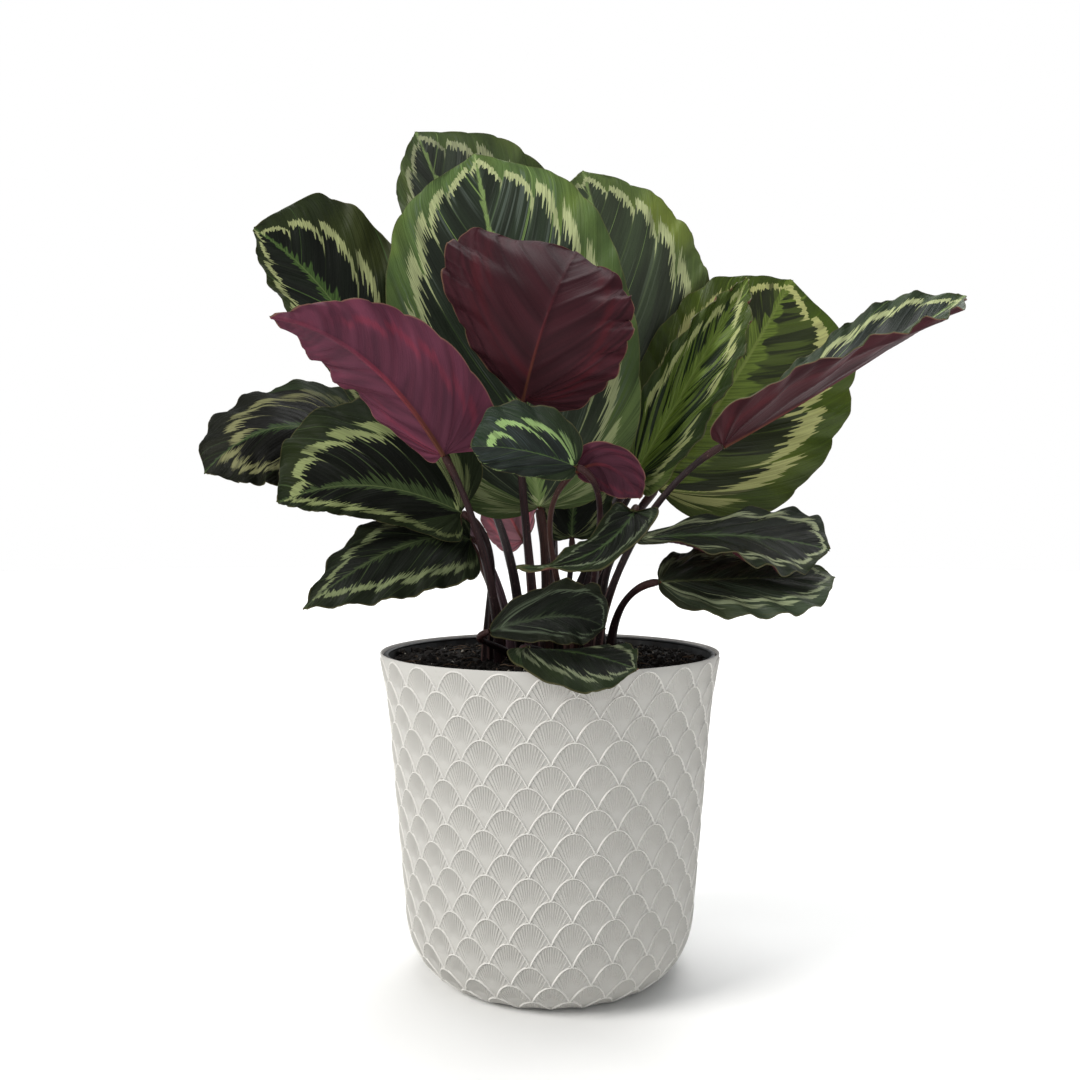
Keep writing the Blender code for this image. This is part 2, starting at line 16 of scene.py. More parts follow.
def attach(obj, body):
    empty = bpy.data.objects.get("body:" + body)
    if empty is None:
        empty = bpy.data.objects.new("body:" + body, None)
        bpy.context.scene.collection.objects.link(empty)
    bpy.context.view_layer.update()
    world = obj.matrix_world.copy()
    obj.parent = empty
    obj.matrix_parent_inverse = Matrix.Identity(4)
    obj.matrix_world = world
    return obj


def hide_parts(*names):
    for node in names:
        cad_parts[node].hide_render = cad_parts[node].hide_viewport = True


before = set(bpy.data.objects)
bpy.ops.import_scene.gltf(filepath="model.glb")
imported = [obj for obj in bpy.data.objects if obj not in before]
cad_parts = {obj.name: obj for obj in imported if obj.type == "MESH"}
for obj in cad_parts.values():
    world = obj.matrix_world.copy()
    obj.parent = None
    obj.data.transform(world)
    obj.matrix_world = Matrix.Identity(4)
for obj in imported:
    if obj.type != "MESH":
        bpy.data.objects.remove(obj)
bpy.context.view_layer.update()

MM = 0.001
TURN = 2 * math.pi

# The camera, from the photograph's perspective.
CAMERA_PLACE = (-0.0057, -0.638, 0.260)
CAMERA_LENS = 35.7
CAMERA_SENSOR = 36.0
HORIZON_SHIFT = -0.0139
CAMERA_REACH = 50

# The studio. Each sun has the place that it shines from, its width in degrees, its power and its tint.
SUNS = {
    "key": ((-1.9, -0.9, 1.45), 26, 2.5, (1.0, 0.985, 0.96)),
    "top": ((0.1, 0.5, 2.0), 45, 2.1, (1.0, 1.0, 1.0)),
    "fill": ((0.8, -1.8, 0.5), 60, 0.45, (0.98, 0.99, 1.0)),
    "back": ((0.9, 1.8, 1.5), 50, 0.6, (1.0, 1.0, 1.0)),
}
SKY_TINT = (0.95, 0.98, 1.0, 1)
SKY_STRENGTH = 0.30
BACKDROP_TINT = (1, 1, 1, 1)
FLOOR_RADIUS = 6
FLOOR_SIDES = 95
FLOOR_HEIGHT = -0.0002
FLOOR_TINTS = ((247, 247, 246), (251, 251, 250))

# The decorative pot.
POT_HEIGHT = 186 * MM
POT_RIM_RADIUS = 100 * MM
POT_WALL = 1.5 * MM
POT_FLOOR = 3 * MM
SIDE_RADIUS_AT_FOOT = 81.2 * MM
SIDE_SLOPE = 0.086
FLARE_START = 152 * MM
FLARE_POWER = 1.3
CORNER_HEIGHT = 34 * MM
CORNER_DEPTH = 23 * MM
FOOT_RECESS = 1.0 * MM
AXIS_GAP = 0.2 * MM  # between the axis and the ends of the turned outline
INNER_LEVELS = tuple(z * MM for z in (6, 14, 34, 152, 172, 180, 185.2))
PROFILE_STEPS = 400
SLOPE_STEP = 0.6 * MM
SHELL_SEGMENTS = 144
SHELL_STEPS = 46
SHELL_CROWDING = 0.9
POT_SHARP = 48  # degrees, and so are BLADE_SHARP and STEM_SHARP: edges bent more than that aren't smoothed
FANS_AROUND = 24
FAN_ROWS = 16
FAN_PITCH = 11.9 * MM
FIRST_FAN = 1.6 * MM
ARCH_POWER = 2.2  # of the curve that a fan's edge follows
BEAD_WIDTH = 1.2 * MM
BEAD_HEIGHT = 0.7 * MM
BEAD_SECTION = ((-0.5, -0.35), (-0.3, 0.55), (-0.1, 1.0), (0.1, 1.0), (0.3, 0.55), (0.5, -0.35))
BEAD_STEPS = 14
RELIEF_ROOT = 0.2 * MM  # how deep a rib's underside lies in the wall
RIBS = 15
RIB_WIDTH = 1.25 * MM
RIB_TAPER = 0.5
RIB_HEIGHT = 0.62 * MM
RIB_FADE = 0.8
RIB_START = 0.03
RIB_END = 0.6
RIB_SPREAD = 0.93
RIB_STATIONS = np.array((0.0, 0.45, 1.0))
RIB_SECTION = ((-0.5, False), (0.0, True), (0.5, False))
GROUND_TINTS = ((177, 175, 170), (185, 183, 178))
# The arcs are painted lighter than the ground: a painted highlight on the fans' raised edges.
ARC_HIGHLIGHT_TINTS = ((206, 204, 199), (214, 212, 207))

# The grow pot's lip and the soil. Sizes of crumbs and fibres are in mm.
LIP_RADIUS = 96.5 * MM
LIP_HEIGHT = 184.1 * MM
LIP_HALF_WIDTH = 1.5 * MM
LIP_HALF_HEIGHT = 1.0 * MM
LIP_CORNERS = 10
LIP_SEGMENTS = 120
SOIL_TOP = 180 * MM
SOIL_RADIUS = 94.2 * MM
SOIL_SIDE = ((91.6, 172), (77, 40), (60, 8), (57, 5.2))  # radius and height down the side, mm
SOIL_SEGMENTS = 120
SOIL_RINGS = 34
SOIL_SEED = 11
LUMPS = ((38, 3.0, 1.2), (160, 8.0, 0.9), (420, 1.0, 0.5))  # bumps for a metre, seed, height in mm
CRUMB_MARGIN = 2 * MM
CLUMPS = (2500, (0.7, 2.3), 0.1)  # how many, sizes, how high they lie
PERLITE = (70, (0.5, 1.2), 0.55)
BALL_CORNERS = 12
BALL_EDGE = 1.1  # longer than the ball's edges, shorter than its diagonals
RAGGED = 0.25
FIBRES = 70
FIBRE_MARGIN = 8 * MM
FIBRE_JOINTS = 7
FIBRE_THICKNESS = (0.15, 0.4)
FIBRE_STEP = (1.0, 2.2)

# The stems.
STEM_DEPTH = 10 * MM
STEM_FOOT = (1.7 * MM, 0.011)
STEM_TOP = 0.68
LEAF_CLEARANCE = 0.4 * MM
STEM_STEPS = 44
STEM_SIDES = 26
STEM_SHARP = 60
SWELLING = 0.28  # of the joint under the blade, over the stem's own radius
SWELLING_LENGTH = 15 * MM
NECK = 0.22
NECK_LENGTH = 1.5 * MM
FOOT_SWELLING = 0.2
FOOT_LENGTH = 14 * MM
SHEATH_SEED = 5
SHEATH_START = 0.15
SHEATH_ENDS = (0.35, 0.6)
WING_SIZES = (0.45, 0.8)
WING_APART = 0.62
WING_WIDTH = 0.34

# The blades.
BLADE_THICKNESS = 0.6 * MM
BLADE_SHARP = 50
RIDGE_HEIGHT = 1.3 * MM
RIDGE_WIDTH = 1.2 * MM
RIDGE_FADE = 0.7
GROOVE_DEPTH = 0.3 * MM
GROOVE_WIDTH = 0.7 * RIDGE_WIDTH
BASE_WIDTH = 1.5 * MM
TIP_WIDTH = 0.3 * MM
VEIN_LEAN = 0.16
VEIN_SWEEP = 1.6
VEIN_BEND = 0.45
FAN_OF_VEINS = 2.2  # side veins for a radian round the base, against those for half a width along the midrib
LOBE = 0.12
LOBE_FADE = 6
ROUNDNESS = 2.5
TIP_START = 0.86  # from here on a blade narrows straight to its tip
LEAST_CUP = 0.01
GRID_ALONG = 112
GRID_EASING = 0.6
GRID_HALF = 22
GRID_CROWDING = 1.25
PLEAT = 1.1 * MM
PLEAT_ROUNDNESS = 0.7
EDGE_PHASE = 2.0
EDGE_LOBES = 1.6 * MM
EDGE_LOBE_ROUNDNESS = 0.6
USUAL_WIDTH = 60 * MM
FRILL = 0.3  # of the fine waves, over the broad ones
FINE_WAVES = (2.7, 1.7)  # how many of them for each broad one, and how far they are shifted
FINEST_WAVES = (6.1, 2.9)
FINEST_SHARE = 0.2
LEAST_GAP = 1e-4

# Leaves: root is where the stem stands in the soil, and base, middle and tip are points of the midrib.
# facing: the azimuth from the front and the elevation that the upper side looks to. wide: the greatest width
# of the left and the right half. twist: of the blade along its midrib. rise, cup: how steeply each half rises
# at the midrib, and how far it curls. shape: how far along each half is widest, and how pointed the blade is.
# ruffle, waves: the height and the number of the edge's waves. bows: how far the stem's ends run straight.
Leaf = namedtuple(
    "Leaf",
    "root base middle tip facing wide twist rise cup shape ruffle waves bows",
    defaults=(0, (0, 0), (-10, -10), (0.48, 0.48, 0.1), 2.5, 5, (0.4, 0.3)),
)
LEAVES = {
    "top_back": Leaf(
        root=(-3, 21), base=(-8, 76, 342), middle=(-50, 88, 434), tip=(-88, 70, 520), facing=(-12, 10),
        wide=(38, 74), rise=(8, 12), cup=(-45, -10), shape=(0.50, 0.50, 0.1), ruffle=2.2,
    ),
    "large_middle": Leaf(
        root=(-2, -3), base=(-6, 6, 270), middle=(-24, 4, 373), tip=(-46, 14, 486), facing=(3, 6),
        wide=(70, 76), rise=(2, 6), cup=(2, -6), shape=(0.50, 0.50, 0.0), ruffle=2.0, waves=6,
    ),
    "upper_right": Leaf(
        root=(9, 14), base=(60, 54, 322), middle=(43, 54, 404), tip=(22, 54, 489), facing=(8, 4),
        wide=(58, 66), rise=(6, 4), shape=(0.44, 0.44, 0.15), waves=6,
    ),
    "middle_burgundy": Leaf(
        root=(-9, -15), base=(-15, -30, 331), middle=(-2, -56, 373), tip=(15, -24, 416), facing=(178, 6),
        wide=(47, 65), twist=10, rise=(-4, -4), cup=(10, 10), shape=(0.47, 0.70, 0.0), ruffle=3.0,
    ),
    "left_burgundy": Leaf(
        root=(-30, -17), base=(-58, -56, 298), middle=(-98, -76, 347), tip=(-148, -72, 370), facing=(186, 4),
        wide=(38, 31), rise=(0, 46), cup=(0, 20), shape=(0.20, 0.45, 0.8), waves=4, bows=(0.3, 0.3),
    ),
    "upper_left": Leaf(
        root=(-23, 4), base=(-93, 14, 328), middle=(-132, 8, 396), tip=(-178, 6, 438), facing=(-8, 16),
        wide=(27, 51), twist=10, rise=(-10, 0), cup=(-20, -14), shape=(0.42, 0.62, 0.2),
    ),
    "far_left": Leaf(
        root=(-28, 14), base=(-122, 30, 312), middle=(-170, 24, 320), tip=(-212, 20, 292), facing=(-16, 42),
        wide=(42, 58), rise=(-5, 0), cup=(-20, -20),
    ),
    "left": Leaf(
        root=(-36, -4), base=(-50, -34, 267), middle=(-102, -42, 282), tip=(-150, -48, 272), facing=(-6, 24),
        wide=(20, 58), rise=(-6, 0), cup=(-20, -6), shape=(0.27, 0.47, 0.2),
    ),
    "lower_left": Leaf(
        root=(-38, 6), base=(-46, -22, 252), middle=(-86, -40, 247), tip=(-136, -50, 214), facing=(-6, 48),
        wide=(36, 28), rise=(-4, 0), cup=(-10, 10), shape=(0.36, 0.36, 0.5),
    ),
    "small_round": Leaf(
        root=(22, -20), base=(13, -88, 290), middle=(-14, -92, 298), tip=(-41, -92, 300), facing=(-4, 25),
        wide=(13, 30), rise=(-10, 0), cup=(-30, -10), shape=(0.50, 0.50, 0.0), ruffle=1.5, waves=4,
        bows=(0.45, 0.2),
    ),
    "small_burgundy": Leaf(
        root=(10, -19), base=(13, -74, 288), middle=(30, -78, 291), tip=(47, -78, 274), facing=(180, 20),
        wide=(15, 12), cup=(20, 20), shape=(0.50, 0.50, 0.1), ruffle=0.6, waves=2,
    ),
    "s_shaped": Leaf(
        root=(15, -10), base=(44, -70, 267), middle=(19, -88, 245), tip=(-18, -83, 238), facing=(-10, 64),
        wide=(15, 15), cup=(0, 0), shape=(0.25, 0.25, 0.9), waves=2, bows=(0.4, 0.2),
    ),
    "striped": Leaf(
        root=(17, 4), base=(52, 28, 289), middle=(89, 24, 353), tip=(122, 20, 412), facing=(-9, 6),
        wide=(26, 34), rise=(38, 38), cup=(10, 10), shape=(0.33, 0.38, 0.5), ruffle=2.0, waves=6,
    ),
    "big_right": Leaf(
        root=(24, 13), base=(68, 42, 283), middle=(114, 46, 346), tip=(158, 60, 420), facing=(4, 6),
        wide=(58, 76), rise=(0, 6), cup=(-10, -14), shape=(0.52, 0.52, 0.0), ruffle=2.2, waves=6,
    ),
    "long_folded": Leaf(
        root=(28, -9), base=(98, -30, 305), middle=(170, -30, 347), tip=(239, -22, 392), facing=(0, 90),
        wide=(34, 42), twist=-36, rise=(34, 6), cup=(10, 20), shape=(0.56, 0.42, 0.25), ruffle=2.6, waves=6,
        bows=(0.25, 0.35),
    ),
    "lower_right_upper": Leaf(
        root=(31, 3), base=(52, -13, 252), middle=(110, -20, 254), tip=(158, -32, 246), facing=(0, 66),
        wide=(39, 48), twist=-30, rise=(4, 0), cup=(-10, 20), shape=(0.56, 0.52, 0.0), ruffle=2.4,
    ),
    "lower_right_lower": Leaf(
        root=(35, -9), base=(61, -38, 228), middle=(102, -40, 230), tip=(160, -36, 231), facing=(0, 64),
        wide=(43, 34), cup=(-6, -16), shape=(0.48, 0.58, 0.0), ruffle=2.4, waves=6,
    ),
    "front_low": Leaf(
        root=(-20, -22), base=(-33, -53, 202), middle=(4, -63, 211), tip=(29, -65, 205), facing=(0, 42),
        wide=(27, 17), shape=(0.62, 0.62, 0.1), ruffle=1.8, waves=4, bows=(0.3, 0.5),
    ),
    "over_the_rim": Leaf(
        root=(0, -27), base=(-12, -66, 194), middle=(16, -96, 195), tip=(42, -111, 189), facing=(0, 66),
        wide=(25, 28), twist=-30, rise=(-12, 12), cup=(-4, -40), shape=(0.50, 0.50, 0.1), ruffle=1.2,
        waves=4, bows=(0.3, 0.4),
    ),
    "low_back": Leaf(
        root=(-13, 13), base=(-16, 60, 250), middle=(-26, 78, 267), tip=(-36, 90, 286), facing=(180, 20),
        wide=(20, 20), ruffle=1.5, waves=4,
    ),
    "behind_stems": Leaf(
        root=(7, 4), base=(14, 24, 252), middle=(18, 34, 284), tip=(32, 36, 320), facing=(-4, 10),
        wide=(24, 24), shape=(0.48, 0.48, 0.2), ruffle=1.8, waves=4, bows=(0.3, 0.3),
    ),
    "back_left": Leaf(
        root=(-17, 23), base=(-64, 100, 318), middle=(-92, 126, 378), tip=(-100, 126, 440), facing=(200, 20),
        wide=(58, 58), ruffle=2.4, waves=6,
    ),
    "back_right": Leaf(
        root=(19, 24), base=(66, 98, 310), middle=(96, 118, 356), tip=(122, 118, 402), facing=(160, 20),
        wide=(56, 56), ruffle=2.4, waves=6,
    ),
    # It faces another way than its solid does, because the solid's base folds over.
    "back_middle": Leaf(
        root=(3, 31), base=(4, 120, 300), middle=(2, 160, 340), tip=(-6, 186, 392), facing=(180, 0),
        wide=(56, 56), ruffle=2.4, waves=6,
    ),
}

# How a blade is coloured. Colours are sRGB from 0 to 255. outer, inner: outside and inside the ring.
# feather: the light rays along the midrib. feather_reach, rays: how far they reach, and how many there are.
# rib: half the midrib's width in mm. band: the cream ring. ring: its distance from the edge of the left and
# the right half, thick: half its width, drop: how far each arch of it falls inwards, all as shares of half
# the blade's width. lean: the side veins' angle to the midrib in each half. cells, teeth: arches of the ring
# and teeth on it for a blade's length. silver: of the thin light lines along the side veins, a painted
# highlight of the pleats' sheen. stripes: how much of the feather's colour lies in the dark middle. gloss,
# shine: roughness and specular level. under: the lower side. frill: how strongly the edge is waved. blunt:
# the lower it is, the farther from the tip the ring turns round.
Look = namedtuple(
    "Look",
    "outer inner feather band feather_reach rays rib ring thick drop lean cells teeth silver stripes"
    " gloss shine under frill blunt",
)
DARK = Look(
    outer=(33, 42, 23), inner=(15, 18, 13), feather=(52, 70, 38), band=(132, 140, 96), feather_reach=0.10,
    rays=30, rib=0.5, ring=(0.26, 0.28), thick=0.042, drop=0.14, lean=(36, 36), cells=4.6, teeth=75,
    silver=0.3, stripes=0.0, gloss=0.30, shine=0.09, under=(80, 42, 50), frill=1.0, blunt=4.0,
)
MIDDLE = DARK._replace(
    outer=(70, 90, 40), inner=(36, 42, 33), feather=(122, 146, 84), band=(180, 188, 136), rays=24, rib=1.5,
    ring=(0.24, 0.24), thick=0.044, drop=0.15, lean=(28, 28), cells=4.4, silver=0.75, shine=0.22, blunt=9.0,
)
FRESH = Look(
    outer=(62, 78, 22), inner=(32, 36, 19), feather=(98, 116, 46), band=(176, 178, 114), feather_reach=0.30,
    rays=15, rib=1.2, ring=(0.27, 0.27), thick=0.06, drop=0.10, lean=(40, 52), cells=4.4, teeth=70,
    silver=0.15, stripes=0.4, gloss=0.22, shine=0.17, under=(96, 50, 54), frill=1.3, blunt=4.0,
)
LOOKS = {name: DARK for name in LEAVES}
LOOKS.update(
    top_back=MIDDLE._replace(
        outer=(66, 82, 42), inner=(36, 41, 32), band=(160, 166, 126), frill=1.4, silver=0.4,
    ),
    large_middle=MIDDLE._replace(outer=(86, 108, 60), shine=0.12),
    upper_right=MIDDLE._replace(
        drop=0.11, silver=0.3, lean=(34, 34), inner=(46, 53, 38), frill=1.5, outer=(88, 106, 54),
    ),
    middle_burgundy=DARK._replace(under=(62, 31, 37), frill=1.8, lean=(52, 52), cells=5.6),
    left_burgundy=DARK._replace(under=(96, 50, 66), frill=1.2, lean=(50, 50), cells=5.6),
    upper_left=DARK._replace(
        outer=(40, 48, 26), band=(156, 162, 112), feather=(66, 90, 44), ring=(0.2, 0.44), feather_reach=0.16,
    ),
    far_left=DARK._replace(
        outer=(20, 22, 14), inner=(11, 11, 8), band=(122, 122, 84), ring=(0.26, 0.40), shine=0.05, blunt=0.9,
    ),
    left=DARK._replace(
        outer=(28, 36, 19), inner=(10, 12, 8), band=(136, 146, 96), feather=(58, 72, 42), feather_reach=0.13,
        ring=(0.24, 0.38), thick=0.056, drop=0.11, shine=0.06, blunt=1.3,
    ),
    lower_left=DARK._replace(
        outer=(24, 30, 17), band=(116, 126, 88), feather=(54, 66, 40), feather_reach=0.12, silver=0.4,
        ring=(0.3, 0.3), shine=0.07, thick=0.05, drop=0.1,
    ),
    small_round=DARK._replace(
        outer=(34, 48, 32), inner=(26, 31, 28), band=(150, 180, 112), cells=3.0, teeth=52, ring=(-0.12, 0.42),
        silver=0.5, thick=0.054, drop=0.2, shine=0.12, rib=0.2, feather_reach=0.03, blunt=0.85,
    ),
    small_burgundy=DARK._replace(under=(74, 38, 50), cells=3.0, teeth=36),
    s_shaped=DARK._replace(cells=3.5, teeth=50, band=(98, 108, 84), thick=0.034),
    striped=FRESH._replace(
        outer=(50, 66, 27), inner=(20, 30, 15), feather=(120, 142, 62), rays=12, band=(178, 184, 124),
        ring=(0.30, 0.30), lean=(22, 22), stripes=0.7, frill=1.6,
    ),
    big_right=FRESH,
    long_folded=MIDDLE._replace(
        outer=(48, 62, 40), under=(66, 34, 39), frill=1.4, silver=0.5, inner=(26, 31, 26),
    ),
    lower_right_upper=DARK._replace(
        silver=0.5, frill=0.6, outer=(36, 44, 31), shine=0.12, band=(156, 164, 128), thick=0.054,
    ),
    lower_right_lower=DARK._replace(
        band=(160, 170, 132), feather=(66, 72, 44), feather_reach=0.05, frill=0.6, outer=(60, 72, 52),
        inner=(33, 38, 29), silver=0.5, shine=0.2, thick=0.054,
    ),
    front_low=DARK._replace(
        cells=3.5, teeth=55, outer=(25, 30, 20), band=(76, 86, 68), thick=0.03, feather=(44, 54, 36),
    ),
    over_the_rim=DARK._replace(cells=4.0, teeth=60, outer=(26, 36, 20), band=(112, 120, 92)),
    low_back=DARK._replace(under=(146, 98, 108), cells=3.5, teeth=55),
    behind_stems=DARK._replace(cells=3.5, teeth=55),
    back_left=MIDDLE._replace(under=(112, 100, 50)),
    back_right=MIDDLE,
    back_middle=MIDDLE,
)
LEAF_SEED = 17.3
RING_SOFTNESS = 0.006
EDGE_LINE = 0.6  # mm
LOWER_RIB = 1.1  # mm

# The dark, the light and the greenish colour of each tint of stem.
STEM_TINTS = {
    "purple": ((31, 17, 20), (54, 31, 33), (78, 70, 50)),
    "brown": ((39, 22, 20), (72, 43, 36), (90, 84, 58)),
    "dark": ((22, 13, 15), (42, 24, 26), (56, 54, 39)),
    "mauve": ((66, 48, 53), (122, 96, 104), (104, 96, 82)),
}
TINT_OF = {
    "left_burgundy": "purple", "middle_burgundy": "purple", "large_middle": "brown", "low_back": "mauve",
    "upper_left": "mauve", "s_shaped": "brown", "small_burgundy": "brown", "small_round": "purple",
    "back_middle": "purple", "far_left": "brown",
}


def main():
    place_camera()
    light_scene()
    lay_floor()
    dress_decorative_pot()
    dress_grow_pot()
    dress_soil()
    finishes = {tint: stem_material(f"stem_{tint}", *colours) for tint, colours in STEM_TINTS.items()}
    for number, (name, leaf) in enumerate(LEAVES.items()):
        dress_blade(name, leaf, LOOKS[name], number)
        dress_stem(name, leaf, finishes[TINT_OF.get(name, "dark")], number)


# The view, the light and the floor.


def place_camera():
    camera = bpy.data.cameras.new("camera")
    camera.lens = CAMERA_LENS
    camera.sensor_width = CAMERA_SENSOR
    camera.shift_y = HORIZON_SHIFT
    camera.clip_end = CAMERA_REACH
    holder = bpy.data.objects.new("camera", camera)
    holder.location = CAMERA_PLACE
    holder.rotation_euler = (math.pi / 2, 0, 0)
    bpy.context.scene.collection.objects.link(holder)
    bpy.context.scene.camera = holder


def light_scene():
    scene = bpy.context.scene
    scene.view_settings.view_transform = "Standard"
    world = bpy.data.worlds.new("studio")
    world.use_nodes = True
    tree = world.node_tree
    shown = tree.nodes["Background"]
    shown.inputs["Color"].default_value = BACKDROP_TINT
    shown.inputs["Strength"].default_value = 1.0
    lit = tree.nodes.new("ShaderNodeBackground")
    lit.inputs["Color"].default_value = SKY_TINT
    lit.inputs["Strength"].default_value = SKY_STRENGTH
    path = tree.nodes.new("ShaderNodeLightPath")
    either = tree.nodes.new("ShaderNodeMixShader")
    tree.links.new(path.outputs["Is Camera Ray"], either.inputs[0])
    tree.links.new(lit.outputs[0], either.inputs[1])
    tree.links.new(shown.outputs[0], either.inputs[2])
    tree.links.new(either.outputs[0], tree.nodes["World Output"].inputs["Surface"])
    scene.world = world
    for name, sun in SUNS.items():
        soft_light(name, *sun)


def soft_light(name, place, width, power, tint):
    """A broad light that shines evenly from the direction of this place."""
    light = bpy.data.lights.new(name, "SUN")
    light.angle = math.radians(width)
    light.energy = power
    light.color = tint
    holder = bpy.data.objects.new(name, light)
    holder.location = place
    holder.rotation_euler = (-Vector(place)).to_track_quat("-Z", "Y").to_euler()
    bpy.context.scene.collection.objects.link(holder)


def lay_floor():
    angles = np.linspace(0, TURN, FLOOR_SIDES + 1)[:-1]
    ring = [(FLOOR_RADIUS * math.cos(a), FLOOR_RADIUS * math.sin(a), FLOOR_HEIGHT) for a in angles]
    floor = mesh_object("floor", ring, [tuple(range(len(ring)))], [floor_material()])


def floor_material():
    shade = Shade("floor_paint")
    patches = shade.noise(shade.place(), 3.0, 3)
    paint = shade.mix(patches, colour(*FLOOR_TINTS[0]), colour(*FLOOR_TINTS[1]))
    return shade.finish(paint, 0.8, 0.2)


# Help for meshes.


def mesh_object(name, points, faces, materials, kinds=None, smooth=False, sharp=None):
    """An object, with the number of each face's material in kinds."""
    mesh = bpy.data.meshes.new(name)
    mesh.from_pydata([tuple(point) for point in points], [], faces)
    for each in materials:
        mesh.materials.append(each)
    if kinds:
        mesh.polygons.foreach_set("material_index", kinds)
    if smooth:
        mesh.shade_smooth()
    if sharp:
        mesh.set_sharp_from_angle(angle=math.radians(sharp))
    made = bpy.data.objects.new(name, mesh)
    bpy.context.scene.collection.objects.link(made)
    return made


def add_map(mesh, name, first, second):
    """A UV map from two numbers for each vertex."""
    layer = mesh.uv_layers.new(name=name)
    corners = np.empty(len(mesh.loops), np.int32)
    mesh.loops.foreach_get("vertex_index", corners)
    pairs = np.stack([first, second], 1).astype(np.float32)
    layer.data.foreach_set("uv", pairs[corners].ravel())


def joined(shapes):
    """Several shapes as one, each given by its points, its faces and the number of its material."""
    points = []
    faces = []
    kinds = []
    start = 0
    for more_points, more_faces, kind in shapes:
        points.append(more_points)
        faces += [tuple(start + corner for corner in face) for face in more_faces]
        kinds += [kind] * len(more_faces)
        start += len(more_points)
    return np.concatenate(points), faces, kinds


def round_angles(count):
    return np.arange(count) * TURN / count


def ring_faces(first, second, count):
    """Faces between two rings of points, given the number of each ring's first point."""
    faces = []
    for j in range(count):
        k = (j + 1) % count
        faces.append((first + j, second + j, second + k, first + k))
    return faces


def turned(profile, segments):
    """Points and faces of a closed solid, turned from its outline (radius, height), which is a loop."""
    angles = round_angles(segments)
    radius, height = np.array(profile, float).T
    x = radius[:, None] * np.sin(angles)
    y = -radius[:, None] * np.cos(angles)
    z = np.repeat(height[:, None], segments, axis=1)
    count = len(profile)
    faces = []
    for i in range(count):
        faces += ring_faces(i * segments, (i + 1) % count * segments, segments)
    return np.stack([x, y, z], -1).reshape(-1, 3), faces


def prisms(sections):
    """Points and faces of closed strips. sections has the shape strips, stations, corners, 3."""
    strips, stations, corners, _ = sections.shape
    faces = []
    for strip in range(strips):
        first = strip * stations * corners
        last = first + (stations - 1) * corners
        faces.append(tuple(first + c for c in range(corners)))
        faces.append(tuple(last + c for c in reversed(range(corners))))
        for station in range(stations - 1):
            a = first + station * corners
            faces += ring_faces(a, a + corners, corners)
    return sections.reshape(-1, 3), faces


def stands_for(piece, node):
    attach(piece, "root")
    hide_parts(node)


# Help for materials. The scale of a noise is in bumps for a metre, where it follows the object's points.


def colour(red, green, blue):
    """A colour given in sRGB from 0 to 255."""
    shares = (red / 255, green / 255, blue / 255)
    linear = [c / 12.92 if c <= 0.04045 else ((c + 0.055) / 1.055) ** 2.4 for c in shares]
    return (*linear, 1.0)


def scaled(triple, *shares):
    """A colour from 0 to 255 with each part multiplied."""
    shares = shares * 3 if len(shares) == 1 else shares
    return colour(*(min(255, c * k) for c, k in zip(triple, shares)))


class Wire:
    """A node's output that takes part in sums: each sum adds a math node."""

    def __init__(self, tree, socket):
        self.tree = tree
        self.socket = socket

    def math(self, operation, *others):
        node = self.tree.nodes.new("ShaderNodeMath")
        node.operation = operation
        for socket, value in zip(node.inputs, (self, *others)):
            connect(self.tree, value, socket)
        return Wire(self.tree, node.outputs[0])

    def __add__(self, other):
        return self.math("ADD", other)

    def __sub__(self, other):
        return self.math("SUBTRACT", other)

    def __rsub__(self, other):
        return self * -1 + other

    def __mul__(self, other):
        return self.math("MULTIPLY", other)

    def __pow__(self, other):
        return self.math("POWER", other)

    __radd__ = __add__


def connect(tree, value, socket):
    if isinstance(value, Wire):
        tree.links.new(value.socket, socket)
    else:
        socket.default_value = value


